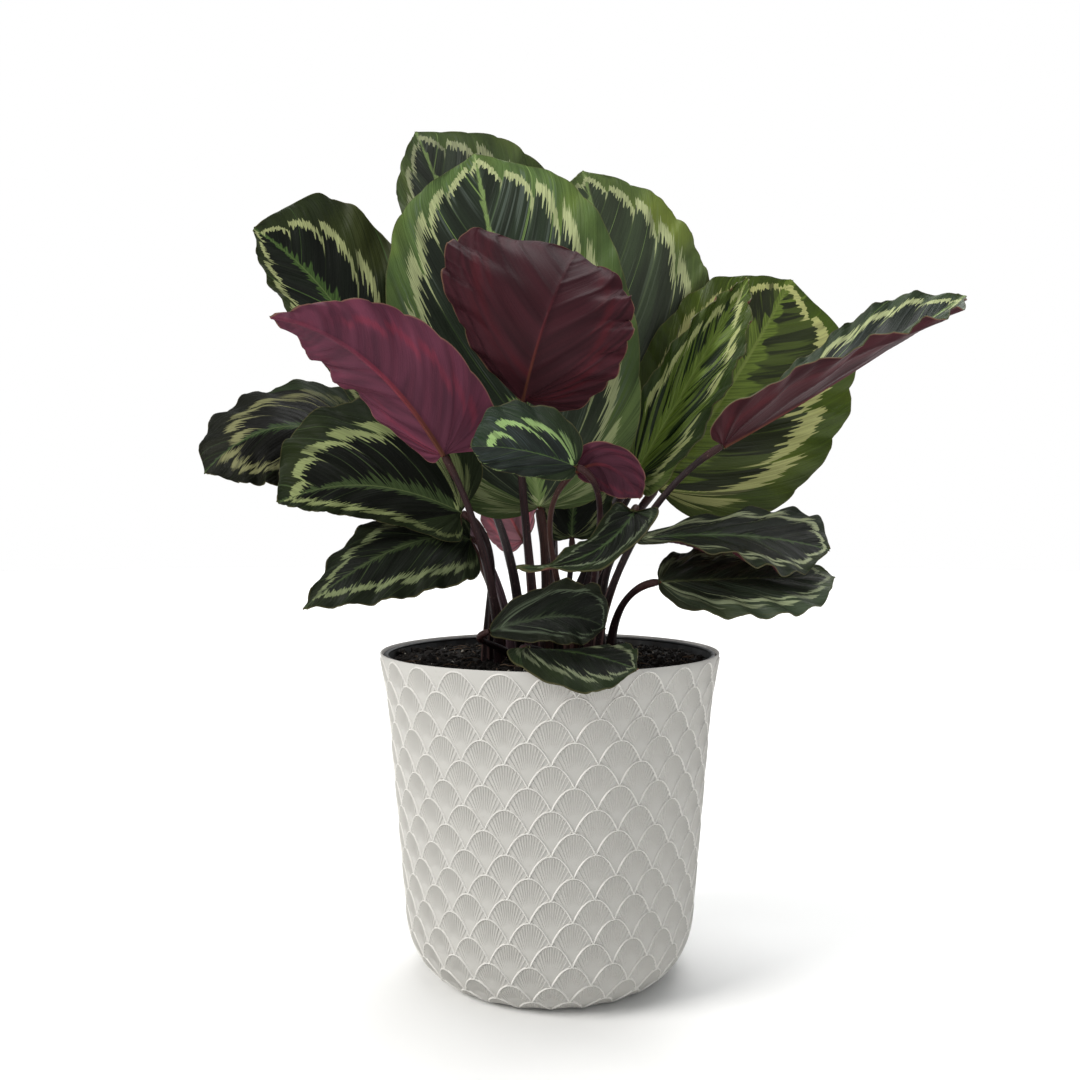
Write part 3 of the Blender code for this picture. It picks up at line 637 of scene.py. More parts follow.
class Shade:
    """A material under construction."""

    def __init__(self, name):
        self.material = bpy.data.materials.new(name)
        self.material.use_nodes = True
        self.tree = self.material.node_tree
        self.tree.nodes.clear()

    def add(self, kind, inputs, output=0, **settings):
        node = self.tree.nodes.new("ShaderNode" + kind)
        for key, value in settings.items():
            setattr(node, key, value)
        for key, value in inputs.items():
            connect(self.tree, value, node.inputs[key])
        return Wire(self.tree, node.outputs[output])

    def place(self):
        """Points of the object in metres."""
        return self.add("TexCoord", {}, "Object")

    def both(self, map_name):
        """The two numbers of a UV map."""
        pair = self.add("UVMap", {}, uv_map=map_name)
        split = self.add("SeparateXYZ", {0: pair}).socket.node
        return [Wire(self.tree, split.outputs[i]) for i in (0, 1)]

    def noise(self, where, scale, detail=2, rough=0.5):
        return self.add("TexNoise", {"Vector": where, "Scale": scale, "Detail": detail, "Roughness": rough})

    def noise_line(self, where, detail):
        """Noise along one number, about one bump for each unit."""
        return self.add("TexNoise", {"W": where, "Scale": 1.0, "Detail": detail}, noise_dimensions="1D")

    def noise_sheet(self, first, second, detail):
        where = self.add("CombineXYZ", {0: first, 1: second})
        inputs = {"Vector": where, "Scale": 1.0, "Detail": detail}
        return self.add("TexNoise", inputs, noise_dimensions="2D")

    def step(self, value, low, high):
        """From 0 at low to 1 at high, eased."""
        inputs = {"Value": value, "From Min": low, "From Max": high}
        return self.add("MapRange", inputs, interpolation_type="SMOOTHSTEP")

    def fall(self, value, low, high):
        """From 1 at low to 0 at high, eased."""
        return 1 - self.step(value, low, high)

    def mix(self, share, first, second):
        return self.add("Mix", {0: share, 6: first, 7: second}, 2, data_type="RGBA")

    def bump(self, height, distance):
        return self.add("Bump", {"Height": height, "Distance": distance, "Strength": 1.0})

    def finish(self, paint, roughness, specular, normal=None):
        shader = self.add("BsdfPrincipled", {"Base Color": paint, "Roughness": roughness})
        node = shader.socket.node
        node.inputs["Specular IOR Level"].default_value = specular
        if normal:
            connect(self.tree, normal, node.inputs["Normal"])
        out = self.tree.nodes.new("ShaderNodeOutputMaterial")
        self.tree.links.new(shader.socket, out.inputs["Surface"])
        return self.material


# The decorative pot.

Wall = namedtuple("Wall", "heights radii distances")


def pot_radius(z):
    """The decorative pot's outer radius at height z."""
    radius = SIDE_RADIUS_AT_FOOT + SIDE_SLOPE * z
    if z > FLARE_START:
        flare = POT_RIM_RADIUS - SIDE_RADIUS_AT_FOOT - SIDE_SLOPE * POT_HEIGHT
        radius += flare * ((z - FLARE_START) / (POT_HEIGHT - FLARE_START)) ** FLARE_POWER
    if z < CORNER_HEIGHT:
        share = (CORNER_HEIGHT - z) / CORNER_HEIGHT
        radius -= CORNER_DEPTH * (1 - math.sqrt(max(0.0, 1 - share * share)))
    return radius


def measured_wall():
    """Heights down the decorative pot's wall, their radii, and their distances from the rim along it."""
    turns = np.linspace(0, math.pi / 2, PROFILE_STEPS)
    heights = POT_HEIGHT * (1 - np.sin(turns))
    radii = np.array([pot_radius(z) for z in heights])
    steps = np.hypot(np.diff(heights), np.diff(radii))
    return Wall(heights, radii, np.concatenate([[0], np.cumsum(steps)]))


def wall_place(wall, distance):
    """Radius and height of the wall this far from the rim along it."""
    return np.interp(distance, wall.distances, wall.radii), np.interp(distance, wall.distances, wall.heights)


def wall_points(wall, distance, angle, relief):
    """Points of the wall, raised outwards by relief."""
    radius, z = wall_place(wall, distance)
    radius_before, z_before = wall_place(wall, distance - SLOPE_STEP)
    radius_after, z_after = wall_place(wall, distance + SLOPE_STEP)
    slope_z = z_after - z_before
    slope_r = radius_after - radius_before
    length = np.hypot(slope_z, slope_r)
    radius = radius - relief * slope_z / length
    z = z + relief * slope_r / length
    return np.stack([radius * np.sin(angle), -radius * np.cos(angle), z], -1)


def dress_decorative_pot():
    wall = measured_wall()
    points, faces, kinds = joined([(*shell_mesh(wall), 0), (*rib_mesh(wall), 0), (*bead_mesh(wall), 1)])
    # The beads get the lighter arc paint, which is a painted highlight.
    finishes = [pot_material("embossed_pot", GROUND_TINTS), pot_material("embossed_arcs_painted_highlight", ARC_HIGHLIGHT_TINTS)]
    pot = mesh_object("embossed_pot", points, faces, finishes, kinds, smooth=True, sharp=POT_SHARP)
    stands_for(pot, "decorative_pot")


def shell_mesh(wall):
    """The plain closed wall and floor, with a rounded rim."""
    along = np.linspace(0, 1, SHELL_STEPS) ** SHELL_CROWDING * wall.distances[-1]
    outside = [wall_place(wall, distance) for distance in along]
    outside[0] = (POT_RIM_RADIUS - 0.1 * MM, POT_HEIGHT - 0.6 * MM)
    foot = [(pot_radius(0) - 2 * MM, 0.0), (pot_radius(0) - 4 * MM, FOOT_RECESS)]
    foot += [(20 * MM, FOOT_RECESS), (AXIS_GAP, FOOT_RECESS)]
    inside = [(AXIS_GAP, POT_FLOOR), (pot_radius(POT_FLOOR) - 3 * MM, POT_FLOOR)]
    inside += [(pot_radius(z) - POT_WALL, z) for z in INNER_LEVELS]
    rim = [(POT_RIM_RADIUS - 1.0 * MM, POT_HEIGHT), (POT_RIM_RADIUS - 0.5 * MM, POT_HEIGHT)]
    return turned(outside + foot + inside + rim, SHELL_SEGMENTS)


def all_fans():
    """Column and row of the top of every fan, as two arrays."""
    pairs = [(2 * fan + row % 2, row) for row in range(FAN_ROWS) for fan in range(FANS_AROUND)]
    return np.array(pairs, float).T


def half_fan(wall, row):
    """Half the width of the fans in this row, at their middle."""
    radius, _ = wall_place(wall, FIRST_FAN + (row + 0.5) * FAN_PITCH)
    return radius * math.pi / FANS_AROUND


def fan_point(wall, column, row, x, down, side_x, side_down, relief):
    """A point of a fan. x is counted in half fans and down in pitches, from the top of the fan, and the
    side step away from there is in metres."""
    distance = FIRST_FAN + (row + down) * FAN_PITCH + side_down
    radius, _ = wall_place(wall, distance)
    angle = (column + x) * math.pi / FANS_AROUND + side_x / radius
    return wall_points(wall, distance, angle, relief)


def bead_mesh(wall):
    """The raised edge of every fan: a low rounded cord along its arc."""
    column, row = (part[:, None] for part in all_fans())
    x = np.linspace(-1, 1, BEAD_STEPS + 1)
    arch = np.abs(x) ** ARCH_POWER
    across_x = -ARCH_POWER * np.sign(x) * np.abs(x) ** (ARCH_POWER - 1) * FAN_PITCH
    across_down = np.broadcast_to(half_fan(wall, row), (len(row), len(x)))
    length = np.hypot(across_x, across_down)
    sections = []
    for offset, raised in BEAD_SECTION:
        step = offset * BEAD_WIDTH / length
        relief = raised * BEAD_HEIGHT
        sections.append(fan_point(wall, column, row, x, arch, step * across_x, step * across_down, relief))
    return prisms(np.stack(sections, 2))


def rib_mesh(wall):
    """The rays of every fan, from its edge towards the point below it, flattening out on the way."""
    column, row = (part[:, None, None] for part in all_fans())
    start = np.linspace(-RIB_SPREAD, RIB_SPREAD, RIBS)[:, None]
    way = RIB_START + (RIB_END - RIB_START) * RIB_STATIONS
    x = start * (1 - way)
    arch = np.abs(start) ** ARCH_POWER
    down = arch * (1 - way) + 2 * way
    run_x = -start * half_fan(wall, row)
    run_down = (2 - arch) * FAN_PITCH
    length = np.hypot(run_x, run_down)
    height = RIB_HEIGHT * (1 - RIB_STATIONS) ** RIB_FADE
    sections = []
    for offset, raised in RIB_SECTION:
        step = offset * RIB_WIDTH * (1 - RIB_TAPER * RIB_STATIONS) / length
        relief = height if raised else -RELIEF_ROOT
        sections.append(fan_point(wall, column, row, x, down, step * run_down, -step * run_x, relief))
    stack = np.stack(sections, 3)
    return prisms(stack.reshape(-1, len(RIB_STATIONS), len(RIB_SECTION), 3))


def pot_material(name, tints):
    shade = Shade(name)
    where = shade.place()
    cloudy = shade.noise(where, 9.0, 3)
    grain = shade.noise(where, 1400.0, 2, 0.6)
    specks = shade.step(shade.noise(where, 520.0, 1), 0.68, 0.76)
    paint = shade.mix(cloudy, colour(*tints[0]), colour(*tints[1]))
    paint = shade.mix(specks * 0.35, paint, scaled(tints[0], 0.93, 0.92, 0.9))
    height = grain + shade.noise(where, 300.0, 2) * 0.8
    rough = 0.52 + shade.noise(where, 60.0, 2) * 0.12
    return shade.finish(paint, rough, 0.4, shade.bump(height, 0.06 * MM))


# The grow pot and the soil.


def dress_grow_pot():
    plastic = black_material()
    pot = bpy.data.objects["grow_pot"]
    for slot in pot.material_slots:
        slot.material = plastic
    outline = [
        (LIP_RADIUS + LIP_HALF_WIDTH * math.cos(a), LIP_HEIGHT + LIP_HALF_HEIGHT * math.sin(a))
        for a in round_angles(LIP_CORNERS)
    ]
    points, faces = turned(outline, LIP_SEGMENTS)
    lip = mesh_object("grow_pot_lip", points, [face[::-1] for face in faces], [plastic], smooth=True)
    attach(lip, "root")


def black_material():
    shade = Shade("black_nursery_plastic")
    where = shade.place()
    dust = shade.step(shade.noise(where, 70.0, 4, 0.6), 0.45, 0.75)
    paint = shade.mix(dust * 0.6, colour(20, 20, 21), colour(48, 43, 38))
    rough = 0.38 + dust * 0.4
    return shade.finish(paint, rough, 0.45, shade.bump(shade.noise(where, 900.0, 2), 0.05 * MM))


def dress_soil():
    draw = np.random.default_rng(SOIL_SEED)
    clumps = (*crumbs(draw, *CLUMPS), 0)
    perlite = (*crumbs(draw, *PERLITE), 1)
    fibres = (*soil_fibres(draw), 2)
    points, faces, kinds = joined([(*soil_body(), 0), clumps, perlite, fibres])
    finishes = [soil_material(), perlite_material(), fibre_material()]
    soil = mesh_object("potting_mix", points, faces, finishes, kinds)
    stands_for(soil, "soil")


def soil_height(x, y):
    lumps = sum(height * noise.noise(Vector((x * scale, y * scale, seed))) for scale, seed, height in LUMPS)
    return SOIL_TOP + lumps * MM


def on_circle(radius, angle):
    """x and y of a point, counted from the front."""
    return radius * math.sin(angle), -radius * math.cos(angle)


def soil_body():
    """A closed body that fills the grow pot up to a lumpy surface."""
    points = [(0, 0, SOIL_TOP)]
    for i in range(1, SOIL_RINGS + 1):
        for j in range(SOIL_SEGMENTS):
            angle = TURN * (j + 0.5 * (i % 2)) / SOIL_SEGMENTS
            x, y = on_circle(SOIL_RADIUS * i / SOIL_RINGS, angle)
            points.append((x, y, soil_height(x, y)))
    for radius, height in SOIL_SIDE:
        for j in range(SOIL_SEGMENTS):
            points.append((*on_circle(radius * MM, TURN * j / SOIL_SEGMENTS), height * MM))
    faces = [(0, 1 + j, 1 + (j + 1) % SOIL_SEGMENTS) for j in range(SOIL_SEGMENTS)]
    last = 1 + (SOIL_RINGS + len(SOIL_SIDE) - 1) * SOIL_SEGMENTS
    for first in range(1, last, SOIL_SEGMENTS):
        faces += ring_faces(first, first + SOIL_SEGMENTS, SOIL_SEGMENTS)
    faces.append(tuple(last + j for j in reversed(range(SOIL_SEGMENTS))))
    return np.array(points), faces


def ball():
    """Points and faces of a twenty-sided ball of radius one."""
    golden = (1 + math.sqrt(5)) / 2
    points = []
    for a in (-1, 1):
        for b in (-golden, golden):
            points += [(a, b, 0), (0, a, b), (b, 0, a)]
    points = np.array(points) / math.hypot(1, golden)
    faces = []
    for i in range(BALL_CORNERS):
        for j in range(i + 1, BALL_CORNERS):
            for k in range(j + 1, BALL_CORNERS):
                corners = points[[i, j, k]]
                gaps = np.linalg.norm(corners - np.roll(corners, 1, axis=0), axis=1)
                if gaps.max() < BALL_EDGE:
                    turn = np.dot(np.cross(corners[1] - corners[0], corners[2] - corners[0]), corners[0])
                    faces.append((i, j, k) if turn > 0 else (i, k, j))
    return points, faces


def draw_spot(draw, margin):
    """x and y of a spot on the soil, drawn evenly, and no nearer to its edge than margin."""
    radius = (SOIL_RADIUS - margin) * draw.random() ** 0.5
    return on_circle(radius, draw.uniform(0, TURN))


def crumbs(draw, count, sizes, high):
    """Small ragged lumps on the soil."""
    base, base_faces = ball()
    points = []
    faces = []
    for i in range(count):
        x, y = draw_spot(draw, CRUMB_MARGIN)
        size = draw.uniform(*sizes) * MM * (0.6 + 0.8 * draw.random() ** 2)
        shape = base * (1 + draw.uniform(-RAGGED, RAGGED, (BALL_CORNERS, 1))) * draw.uniform(0.6, 1.25, 3)
        turn, _ = np.linalg.qr(draw.normal(size=(3, 3)))
        if np.linalg.det(turn) < 0:
            turn[:, 0] *= -1
        points.append(shape @ turn.T * size + (x, y, soil_height(x, y) + size * high))
        faces += [tuple(i * BALL_CORNERS + corner for corner in face) for face in base_faces]
    return np.concatenate(points), faces


def soil_fibres(draw):
    """Thin bent rootlets and bark threads on the surface."""
    sections = []
    for _ in range(FIBRES):
        x, y = draw_spot(draw, FIBRE_MARGIN)
        heading = draw.uniform(0, TURN)
        thick = draw.uniform(*FIBRE_THICKNESS) * MM
        step = draw.uniform(*FIBRE_STEP) * MM
        strand = []
        for i in range(FIBRE_JOINTS):
            arch = 1.0 + 1.1 * math.sin(i / (FIBRE_JOINTS - 1) * math.pi)
            side = np.array((-math.sin(heading), math.cos(heading), 0)) * thick
            middle = np.array((x, y, soil_height(x, y) + arch * MM))
            strand.append([middle - side, middle + (0, 0, thick), middle + side, middle - (0, 0, thick)])
            heading += draw.uniform(-0.5, 0.5)
            x += step * math.cos(heading)
            y += step * math.sin(heading)
        sections.append(strand)
    return prisms(np.array(sections))


def soil_material():
    shade = Shade("damp_potting_mix")
    where = shade.place()
    lumpy = shade.noise(where, 160.0, 5, 0.65)
    paint = shade.mix(shade.step(lumpy, 0.35, 0.7), colour(10, 8, 7), colour(29, 24, 20))
    paint = shade.mix(shade.step(shade.noise(where, 520.0, 2), 0.66, 0.74), paint, colour(72, 59, 46))
    height = shade.noise(where, 700.0, 4, 0.7)
    return shade.finish(paint, 0.82 + lumpy * 0.15, 0.18, shade.bump(height, 0.6 * MM))


def perlite_material():
    shade = Shade("perlite")
    pores = shade.noise(shade.place(), 1800.0, 3)
    paint = shade.mix(pores, colour(118, 114, 104), colour(178, 174, 164))
    return shade.finish(paint, 0.8 + pores * 0.1, 0.3, shade.bump(pores, 0.3 * MM))


def fibre_material():
    shade = Shade("bark_fibre")
    where = shade.place()
    paint = shade.mix(shade.noise(where, 300.0, 3), colour(44, 32, 24), colour(86, 68, 50))
    return shade.finish(paint, 0.8 + shade.noise(where, 90.0, 1) * 0.1, 0.3)


# The shape of a leaf. u runs from 0 at a blade's base to 1 at its tip, and v from -1 at the edge of its left
# half over 0 at the midrib to 1 at the right edge.


def unit(vectors):
    return vectors / np.linalg.norm(vectors, axis=-1, keepdims=True)


def of_half(pair, right):
    """The left half's value or the right half's, point by point."""
    return np.where(right, pair[1], pair[0])


def slimness(leaf):
    return np.linalg.norm(np.subtract(leaf.tip, leaf.base)) / np.mean(leaf.wide)


def midrib(leaf, s):
    """Points and directions on the midrib, s being 0 at the base and 1 at the tip, in metres."""
    base, middle, tip = (np.array(point) * MM for point in (leaf.base, leaf.middle, leaf.tip))
    handle = 2 * middle - (base + tip) / 2
    s = np.asarray(s, float)[..., None]
    points = (1 - s) ** 2 * base + 2 * s * (1 - s) * handle + s**2 * tip
    along = unit((1 - s) * (handle - base) + s * (tip - handle))
    return points, along


def blade_axes(leaf, s):
    """Points on the midrib, with the directions across the blade and out of its upper side."""
    points, along = midrib(leaf, s)
    azimuth, elevation = (math.radians(angle) for angle in leaf.facing)
    level = math.cos(elevation)
    face = np.array((math.sin(azimuth) * level, -math.cos(azimuth) * level, math.sin(elevation)))
    across = unit(np.cross(along, face))
    up = np.cross(across, along)
    turn = np.radians(leaf.twist * (s - 0.5))[..., None]
    return points, across * np.cos(turn) + up * np.sin(turn), up * np.cos(turn) - across * np.sin(turn)


def width_share(leaf, s, right):
    """A half's width along the midrib, as a share of its widest."""
    power = math.log(0.5) / np.log(of_half(leaf.shape, right))

    def rounded(place):
        return (1 - np.abs(2 * place**power - 1) ** ROUNDNESS).clip(0) ** (0.5 + leaf.shape[2] * place)

    past = ((s - TIP_START) / (1 - TIP_START)).clip(0, 1)
    straight = rounded(np.array(TIP_START)) * (1 - past)
    return rounded(s.clip(0, 1)) * (1 - past) + straight * past


def vein_field(leaf, look, s, share, width, right):
    """Which side vein a point lies on. The veins leave the midrib at an acute angle and bend on towards
    the tip. The first ones fan out from the blade's base."""
    lean = np.radians(of_half(look.lean, right))
    aside = share * width * (1 + VEIN_BEND * share**2)
    along = s * slimness(leaf)
    start = along - aside / np.tan(lean)
    turn = np.arctan2(aside, along) - lean
    return np.where(start > 0, start, -FAN_OF_VEINS * turn.clip(0)) / slimness(leaf)


def edge_wave(leaf, look, u, share, right):
    """How far the waves of the edge lift the blade."""
    phase = leaf.base[0] + np.where(right, EDGE_PHASE, 0.0)

    def waves(more, shift):
        return np.sin(TURN * leaf.waves * more * u + shift * phase)

    broad = leaf.ruffle * MM * share**2 * waves(1, 1)
    fine = share**4 * waves(*FINE_WAVES) + FINEST_SHARE * share**7 * waves(*FINEST_WAVES)
    return broad + FRILL * look.frill * leaf.ruffle * MM * fine * (1.2 - u)


def ring_distance(leaf, look, s, share, width):
    """The distance from the edge, and near the tip from the tip, in widths of a half."""
    inset = (1 - share) * width + LEAST_GAP
    before_tip = (1 - s).clip(0) * slimness(leaf) * look.blunt + LEAST_GAP
    return (inset**-4 + before_tip**-4) ** -0.25


def blade_surface(leaf, look, u, v):
    """The blade's upper and lower side, and the numbers that its material is painted by."""
    share = np.abs(v)
    right = v > 0
    s_plain = u + VEIN_LEAN * share**VEIN_SWEEP * 4 * u * (1 - u)
    width = width_share(leaf, s_plain, right)
    s = s_plain - LOBE * share * width * (1 - s_plain) ** LOBE_FADE
    field = vein_field(leaf, look, s, share, width, right)
    cell = np.abs(np.sin(math.pi * (field * look.cells + 0.5 * right)))
    open_part = np.sqrt((4 * u * (1 - u)).clip(0))
    wide = of_half(leaf.wide, right) * MM
    rise = np.radians(of_half(leaf.rise, right))
    bend = np.radians(of_half(leaf.cup, right) + LEAST_CUP) / wide
    lobes = EDGE_LOBES * look.frill * (cell**EDGE_LOBE_ROUNDNESS - 0.75) * share**5 * open_part**0.6
    least = BASE_WIDTH + (TIP_WIDTH - BASE_WIDTH) * u
    reach = share * (least + (wide - least) * width) + lobes * (wide / USUAL_WIDTH) ** 0.5
    angle = rise + bend * reach
    wave = edge_wave(leaf, look, u, share, right) * open_part
    out = (np.sin(angle) - np.sin(rise)) / bend - wave * np.sin(angle)
    lift = (np.cos(rise) - np.cos(angle)) / bend + wave * np.cos(angle)
    points, across, up = blade_axes(leaf, s)
    surface = points + across * (out * np.sign(v))[..., None] + up * lift[..., None]
    normal = unit(np.cross(np.gradient(surface, axis=1), np.gradient(surface, axis=0)))
    pleat = PLEAT * (cell**PLEAT_ROUNDNESS - 0.7) * (4 * share * (1.02 - share)).clip(0) ** 0.6 * width
    groove = GROOVE_DEPTH * np.exp(-((reach / GROOVE_WIDTH) ** 2)) * (1 - s_plain)
    surface = surface + normal * (pleat - groove)[..., None]
    ridge = RIDGE_HEIGHT * (1 - RIDGE_FADE * s_plain) * np.exp(-((reach / RIDGE_WIDTH) ** 2))
    below = surface - normal * (BLADE_THICKNESS + ridge)[..., None]
    return surface, below, field, ring_distance(leaf, look, s, share, width), share * width


def sheet_faces(rows, columns):
    """Faces of a closed sheet between two grids of points, and their kinds: 1 below and 0 elsewhere."""
    total = rows * columns
    faces = []
    kinds = []
    for i in range(rows - 1):
        for j in range(columns - 1):
            a = i * columns + j
            quad = (a, a + 1, a + columns + 1, a + columns)
            faces += [quad, tuple(total + corner for corner in reversed(quad))]
            kinds += [0, 1]
    edge = list(range(columns))
    edge += [i * columns + columns - 1 for i in range(1, rows)]
    edge += [(rows - 1) * columns + j for j in range(columns - 2, -1, -1)]
    edge += [i * columns for i in range(rows - 2, 0, -1)]
    for a, b in zip(edge, edge[1:] + edge[:1]):
        faces.append((b, a, total + a, total + b))
        kinds.append(0)
    return faces, kinds


def dress_blade(name, leaf, look, number):
    """A closed sheet: a patterned upper side, a burgundy underside with its midrib, and a thin edge."""
    steps = np.linspace(0, 1, GRID_ALONG + 1)
    along = steps + GRID_EASING * ((1 - np.cos(math.pi * steps)) / 2 - steps)
    half = np.linspace(0, 1, GRID_HALF + 1) ** GRID_CROWDING
    across = np.concatenate([-half[:0:-1], half])
    u, v = np.meshgrid(along, across, indexing="ij")
    upper, lower, field, ring, from_rib = blade_surface(leaf, look, u, v)
    points = np.concatenate([upper.reshape(-1, 3), lower.reshape(-1, 3)])
    faces, kinds = sheet_faces(*u.shape)
    finishes = [upper_material(name, leaf, look, number), under_material(name, leaf, look, number)]
    blade = mesh_object("leaf_" + name, points, faces, finishes, kinds, smooth=True, sharp=BLADE_SHARP)
    for map_name, first, second in (("Veins", field, v), ("Ring", ring, from_rib)):
        add_map(blade.data, map_name, np.tile(first.ravel(), 2), np.tile(second.ravel(), 2))
    stands_for(blade, "blade_" + name)


# The paint of a leaf.


class LeafShade(Shade):
    """A leaf's material, with the numbers of the blade's UV maps. field: the side vein, from 0 at the base
    to 1 at the tip. side: 0 in the left half and 1 in the right one. share: the distance from the midrib, as
    a share of the way to the edge. ring: the distance from the edge, and from_rib: that from the midrib."""

    def __init__(self, name, number):
        super().__init__(name)
        self.seed = LEAF_SEED * number
        self.field, v = self.both("Veins")
        self.ring, self.from_rib = self.both("Ring")
        self.share = v.math("ABSOLUTE")
        self.side = v.math("GREATER_THAN", 0.0)

    def strand(self, count, shift):
        """A number that grows by count from the base to the tip, another one in each half and leaf."""
        return self.field * count + self.side * shift + self.seed

    def fibres(self, count, shift, stretch, detail=1):
        """Noise that is drawn out along the side veins."""
        return self.noise_sheet(self.strand(count, shift), self.share * stretch, detail)

    def within_arch(self, look):
        """From 0 to 1 in each arch of the ring."""
        return (self.field * look.cells + self.side * 0.5).math("FRACT")

    def near_edge(self, leaf, inner, outer):
        width = EDGE_LINE / max(leaf.wide)
        return self.fall(self.ring, width * inner, width * outer)


def ring_masks(shade, look):
    """Masks of the ring of arches and of the zone outside it, and the place within an arch."""
    field, side, ring = shade.field, shade.side, shade.ring
    cell = shade.within_arch(look)
    middle = (1 - cell) ** 2.8 * ((side * 0.4 + 0.8) * look.drop)
    middle = middle + side * (look.ring[1] - look.ring[0]) + look.ring[0]
    middle = middle + (shade.noise_line(field * (look.cells * 0.9) + shade.seed, 0) - 0.5) * 0.07
    grown = shade.step(field, -0.8, 0.0) * 0.4 + 0.6
    middle = middle * grown - shade.step(field, 0.72, 1.0) * shade.fall(shade.from_rib, 0.03, 0.32) * 0.1
    thick = (shade.step(cell, 0.0, 0.4) * 0.65 + 0.35) * look.thick * grown
    outer_teeth = shade.noise_line(shade.strand(look.teeth, 31), 1)
    inner_teeth = shade.noise_line(shade.strand(look.teeth * 0.8, 57) + 400, 1)
    outer_edge = middle - thick - (outer_teeth - 0.4) * 0.13
    inner_edge = middle + thick + (shade.step(inner_teeth, 0.3, 0.75) ** 1.3 - 0.2) * 0.09 * grown
    outside = shade.fall(ring, outer_edge - RING_SOFTNESS, outer_edge + RING_SOFTNESS)
    inside = shade.step(ring, inner_edge - RING_SOFTNESS, inner_edge + RING_SOFTNESS)
    band = 1 - outside.math("MAXIMUM", inside)
    inwards = ring - middle
    tail = shade.fall(cell + inwards * 0.25, 0.04, 0.07) * (1 - outside)
    band = band.math("MAXIMUM", tail * shade.fall(inwards, 0.03, 0.14))
    gaps = shade.step(shade.noise_line(shade.strand(9, 13) + 70, 0), 0.26, 0.36)
    depth = 0.4 + look.stripes
    return band * (gaps * depth + (1 - depth)), outside, cell


def inner_paint(shade, look, broad, streaks):
    """The dark middle of a blade, with stripes where the look has them."""
    paint = shade.mix(shade.step(broad, 0.36, 0.68), colour(*look.inner), scaled(look.inner, 1.3, 1.35, 1.3))
    paint = shade.mix(shade.step(streaks, 0.5, 0.8) * 0.4, paint, scaled(look.inner, 0.75))
    stripes = shade.step(shade.fibres(22, 41, 1.1, 2), 0.47, 0.57)
    return shade.mix(stripes * (look.stripes * 0.8), paint, colour(*look.feather))


# The thin light lines along the side veins are a painted highlight: painted sheen of the pleats.
def painted_sheen_lines(shade, look):
    bundles = shade.step(shade.fibres(8, 5, 1.5), 0.5, 0.64)
    lines = shade.step(shade.fibres(56, 23, 0.8), 0.5, 0.68)
    return lines * bundles * shade.fall(shade.share, 0.8, 0.98) * look.silver


def feather_rays(shade, look):
    """The rays along the midrib, which grow shorter towards the base and the tip."""
    noisy = shade.noise_line(shade.strand(look.rays, 11) + 90, 2)
    rays = (noisy - 0.33) * (look.feather_reach * 3.4) + look.feather_reach * 0.2
    rays = rays * shade.step(shade.field, -0.35, 0.1) * (1 - shade.step(shade.field, 0.25, 0.95) * 0.8)
    return shade.fall(shade.from_rib, rays * 0.75, rays)


def upper_material(name, leaf, look, number):
    shade = LeafShade("upper_" + name, number)
    field = shade.field
    where = shade.place()
    band, outside, cell = ring_masks(shade, look)
    # low is 1 at the blade's base and 0 further up. It paints shade there: the paint darkens and the cream
    # fades towards the base, and the base is rougher.
    low = shade.fall(field, -0.7, 0.35)
    broad = shade.fibres(look.cells * 1.7, 19, 1.1)
    streaks = shade.fibres(30, 9, 1.3, 2)
    lines = shade.fibres(110, 7, 2.5)
    patches = shade.noise(where, 22.0, 2)

    dark = shade.mix(0.4, colour(*look.outer), colour(*look.inner))
    outer = shade.mix(shade.step(broad * 0.6 + streaks * 0.4, 0.33, 0.62), dark, colour(*look.outer))
    outer = shade.mix(shade.step(patches, 0.45, 0.75) * 0.7, outer, scaled(look.outer, 1.35, 1.25, 0.95))
    paint = shade.mix(outside, inner_paint(shade, look, broad, streaks), outer)
    # Painted highlight: light grey streaks of sheen along the side veins.
    paint = shade.mix(painted_sheen_lines(shade, look) * 0.55, paint, scaled(look.inner, 2.9, 2.75, 3.2))

    feather = shade.mix(shade.step(lines, 0.3, 0.65) * 0.6 + 0.4, dark, colour(*look.feather))
    paint = shade.mix(feather_rays(shade, look) * 0.9, paint, feather)
    rib_width = look.rib / max(leaf.wide)
    rib = shade.fall(shade.from_rib, rib_width * 0.4, rib_width * 1.4)
    rib = rib * (1 - shade.step(field, 0.45, 0.98) * 0.6)
    paint = shade.mix(rib * 0.7, paint, shade.mix(0.2, colour(*look.feather), colour(*look.band)))
    # Painted shade: darker towards the blade's base.
    paint = shade.mix(low * 0.75, paint, scaled(look.inner, 0.75, 0.75, 0.5))

    cream = shade.mix(shade.step(lines, 0.25, 0.7), scaled(look.band, 0.86), colour(*look.band))
    # The cream ring fades in the same painted shade towards the base.
    paint = shade.mix(band * (1 - low * 0.7) * 0.94, paint, cream)
    vein = shade.step((cell - 0.5).math("ABSOLUTE"), 0.47, 0.495) * (1 - band)
    paint = shade.mix(vein * 0.12, paint, scaled(look.outer, 1.5))
    paint = shade.mix(shade.near_edge(leaf, 0.4, 1.6) * 0.4, paint, colour(96, 90, 58))

    height = shade.fibres(190, 3, 4) * 0.3 + streaks * 1.2 + shade.noise(where, 900.0, 2) * 0.2
    dull = shade.fall(shade.fibres(13, 27, 1.2), 0.42, 0.64)
    rough = look.gloss + dull * 0.16 + low * 0.25 + (lines - 0.5) * 0.12 + (patches - 0.5) * 0.15
    return shade.finish(paint, rough, look.shine, shade.bump(height, 0.5 * MM))


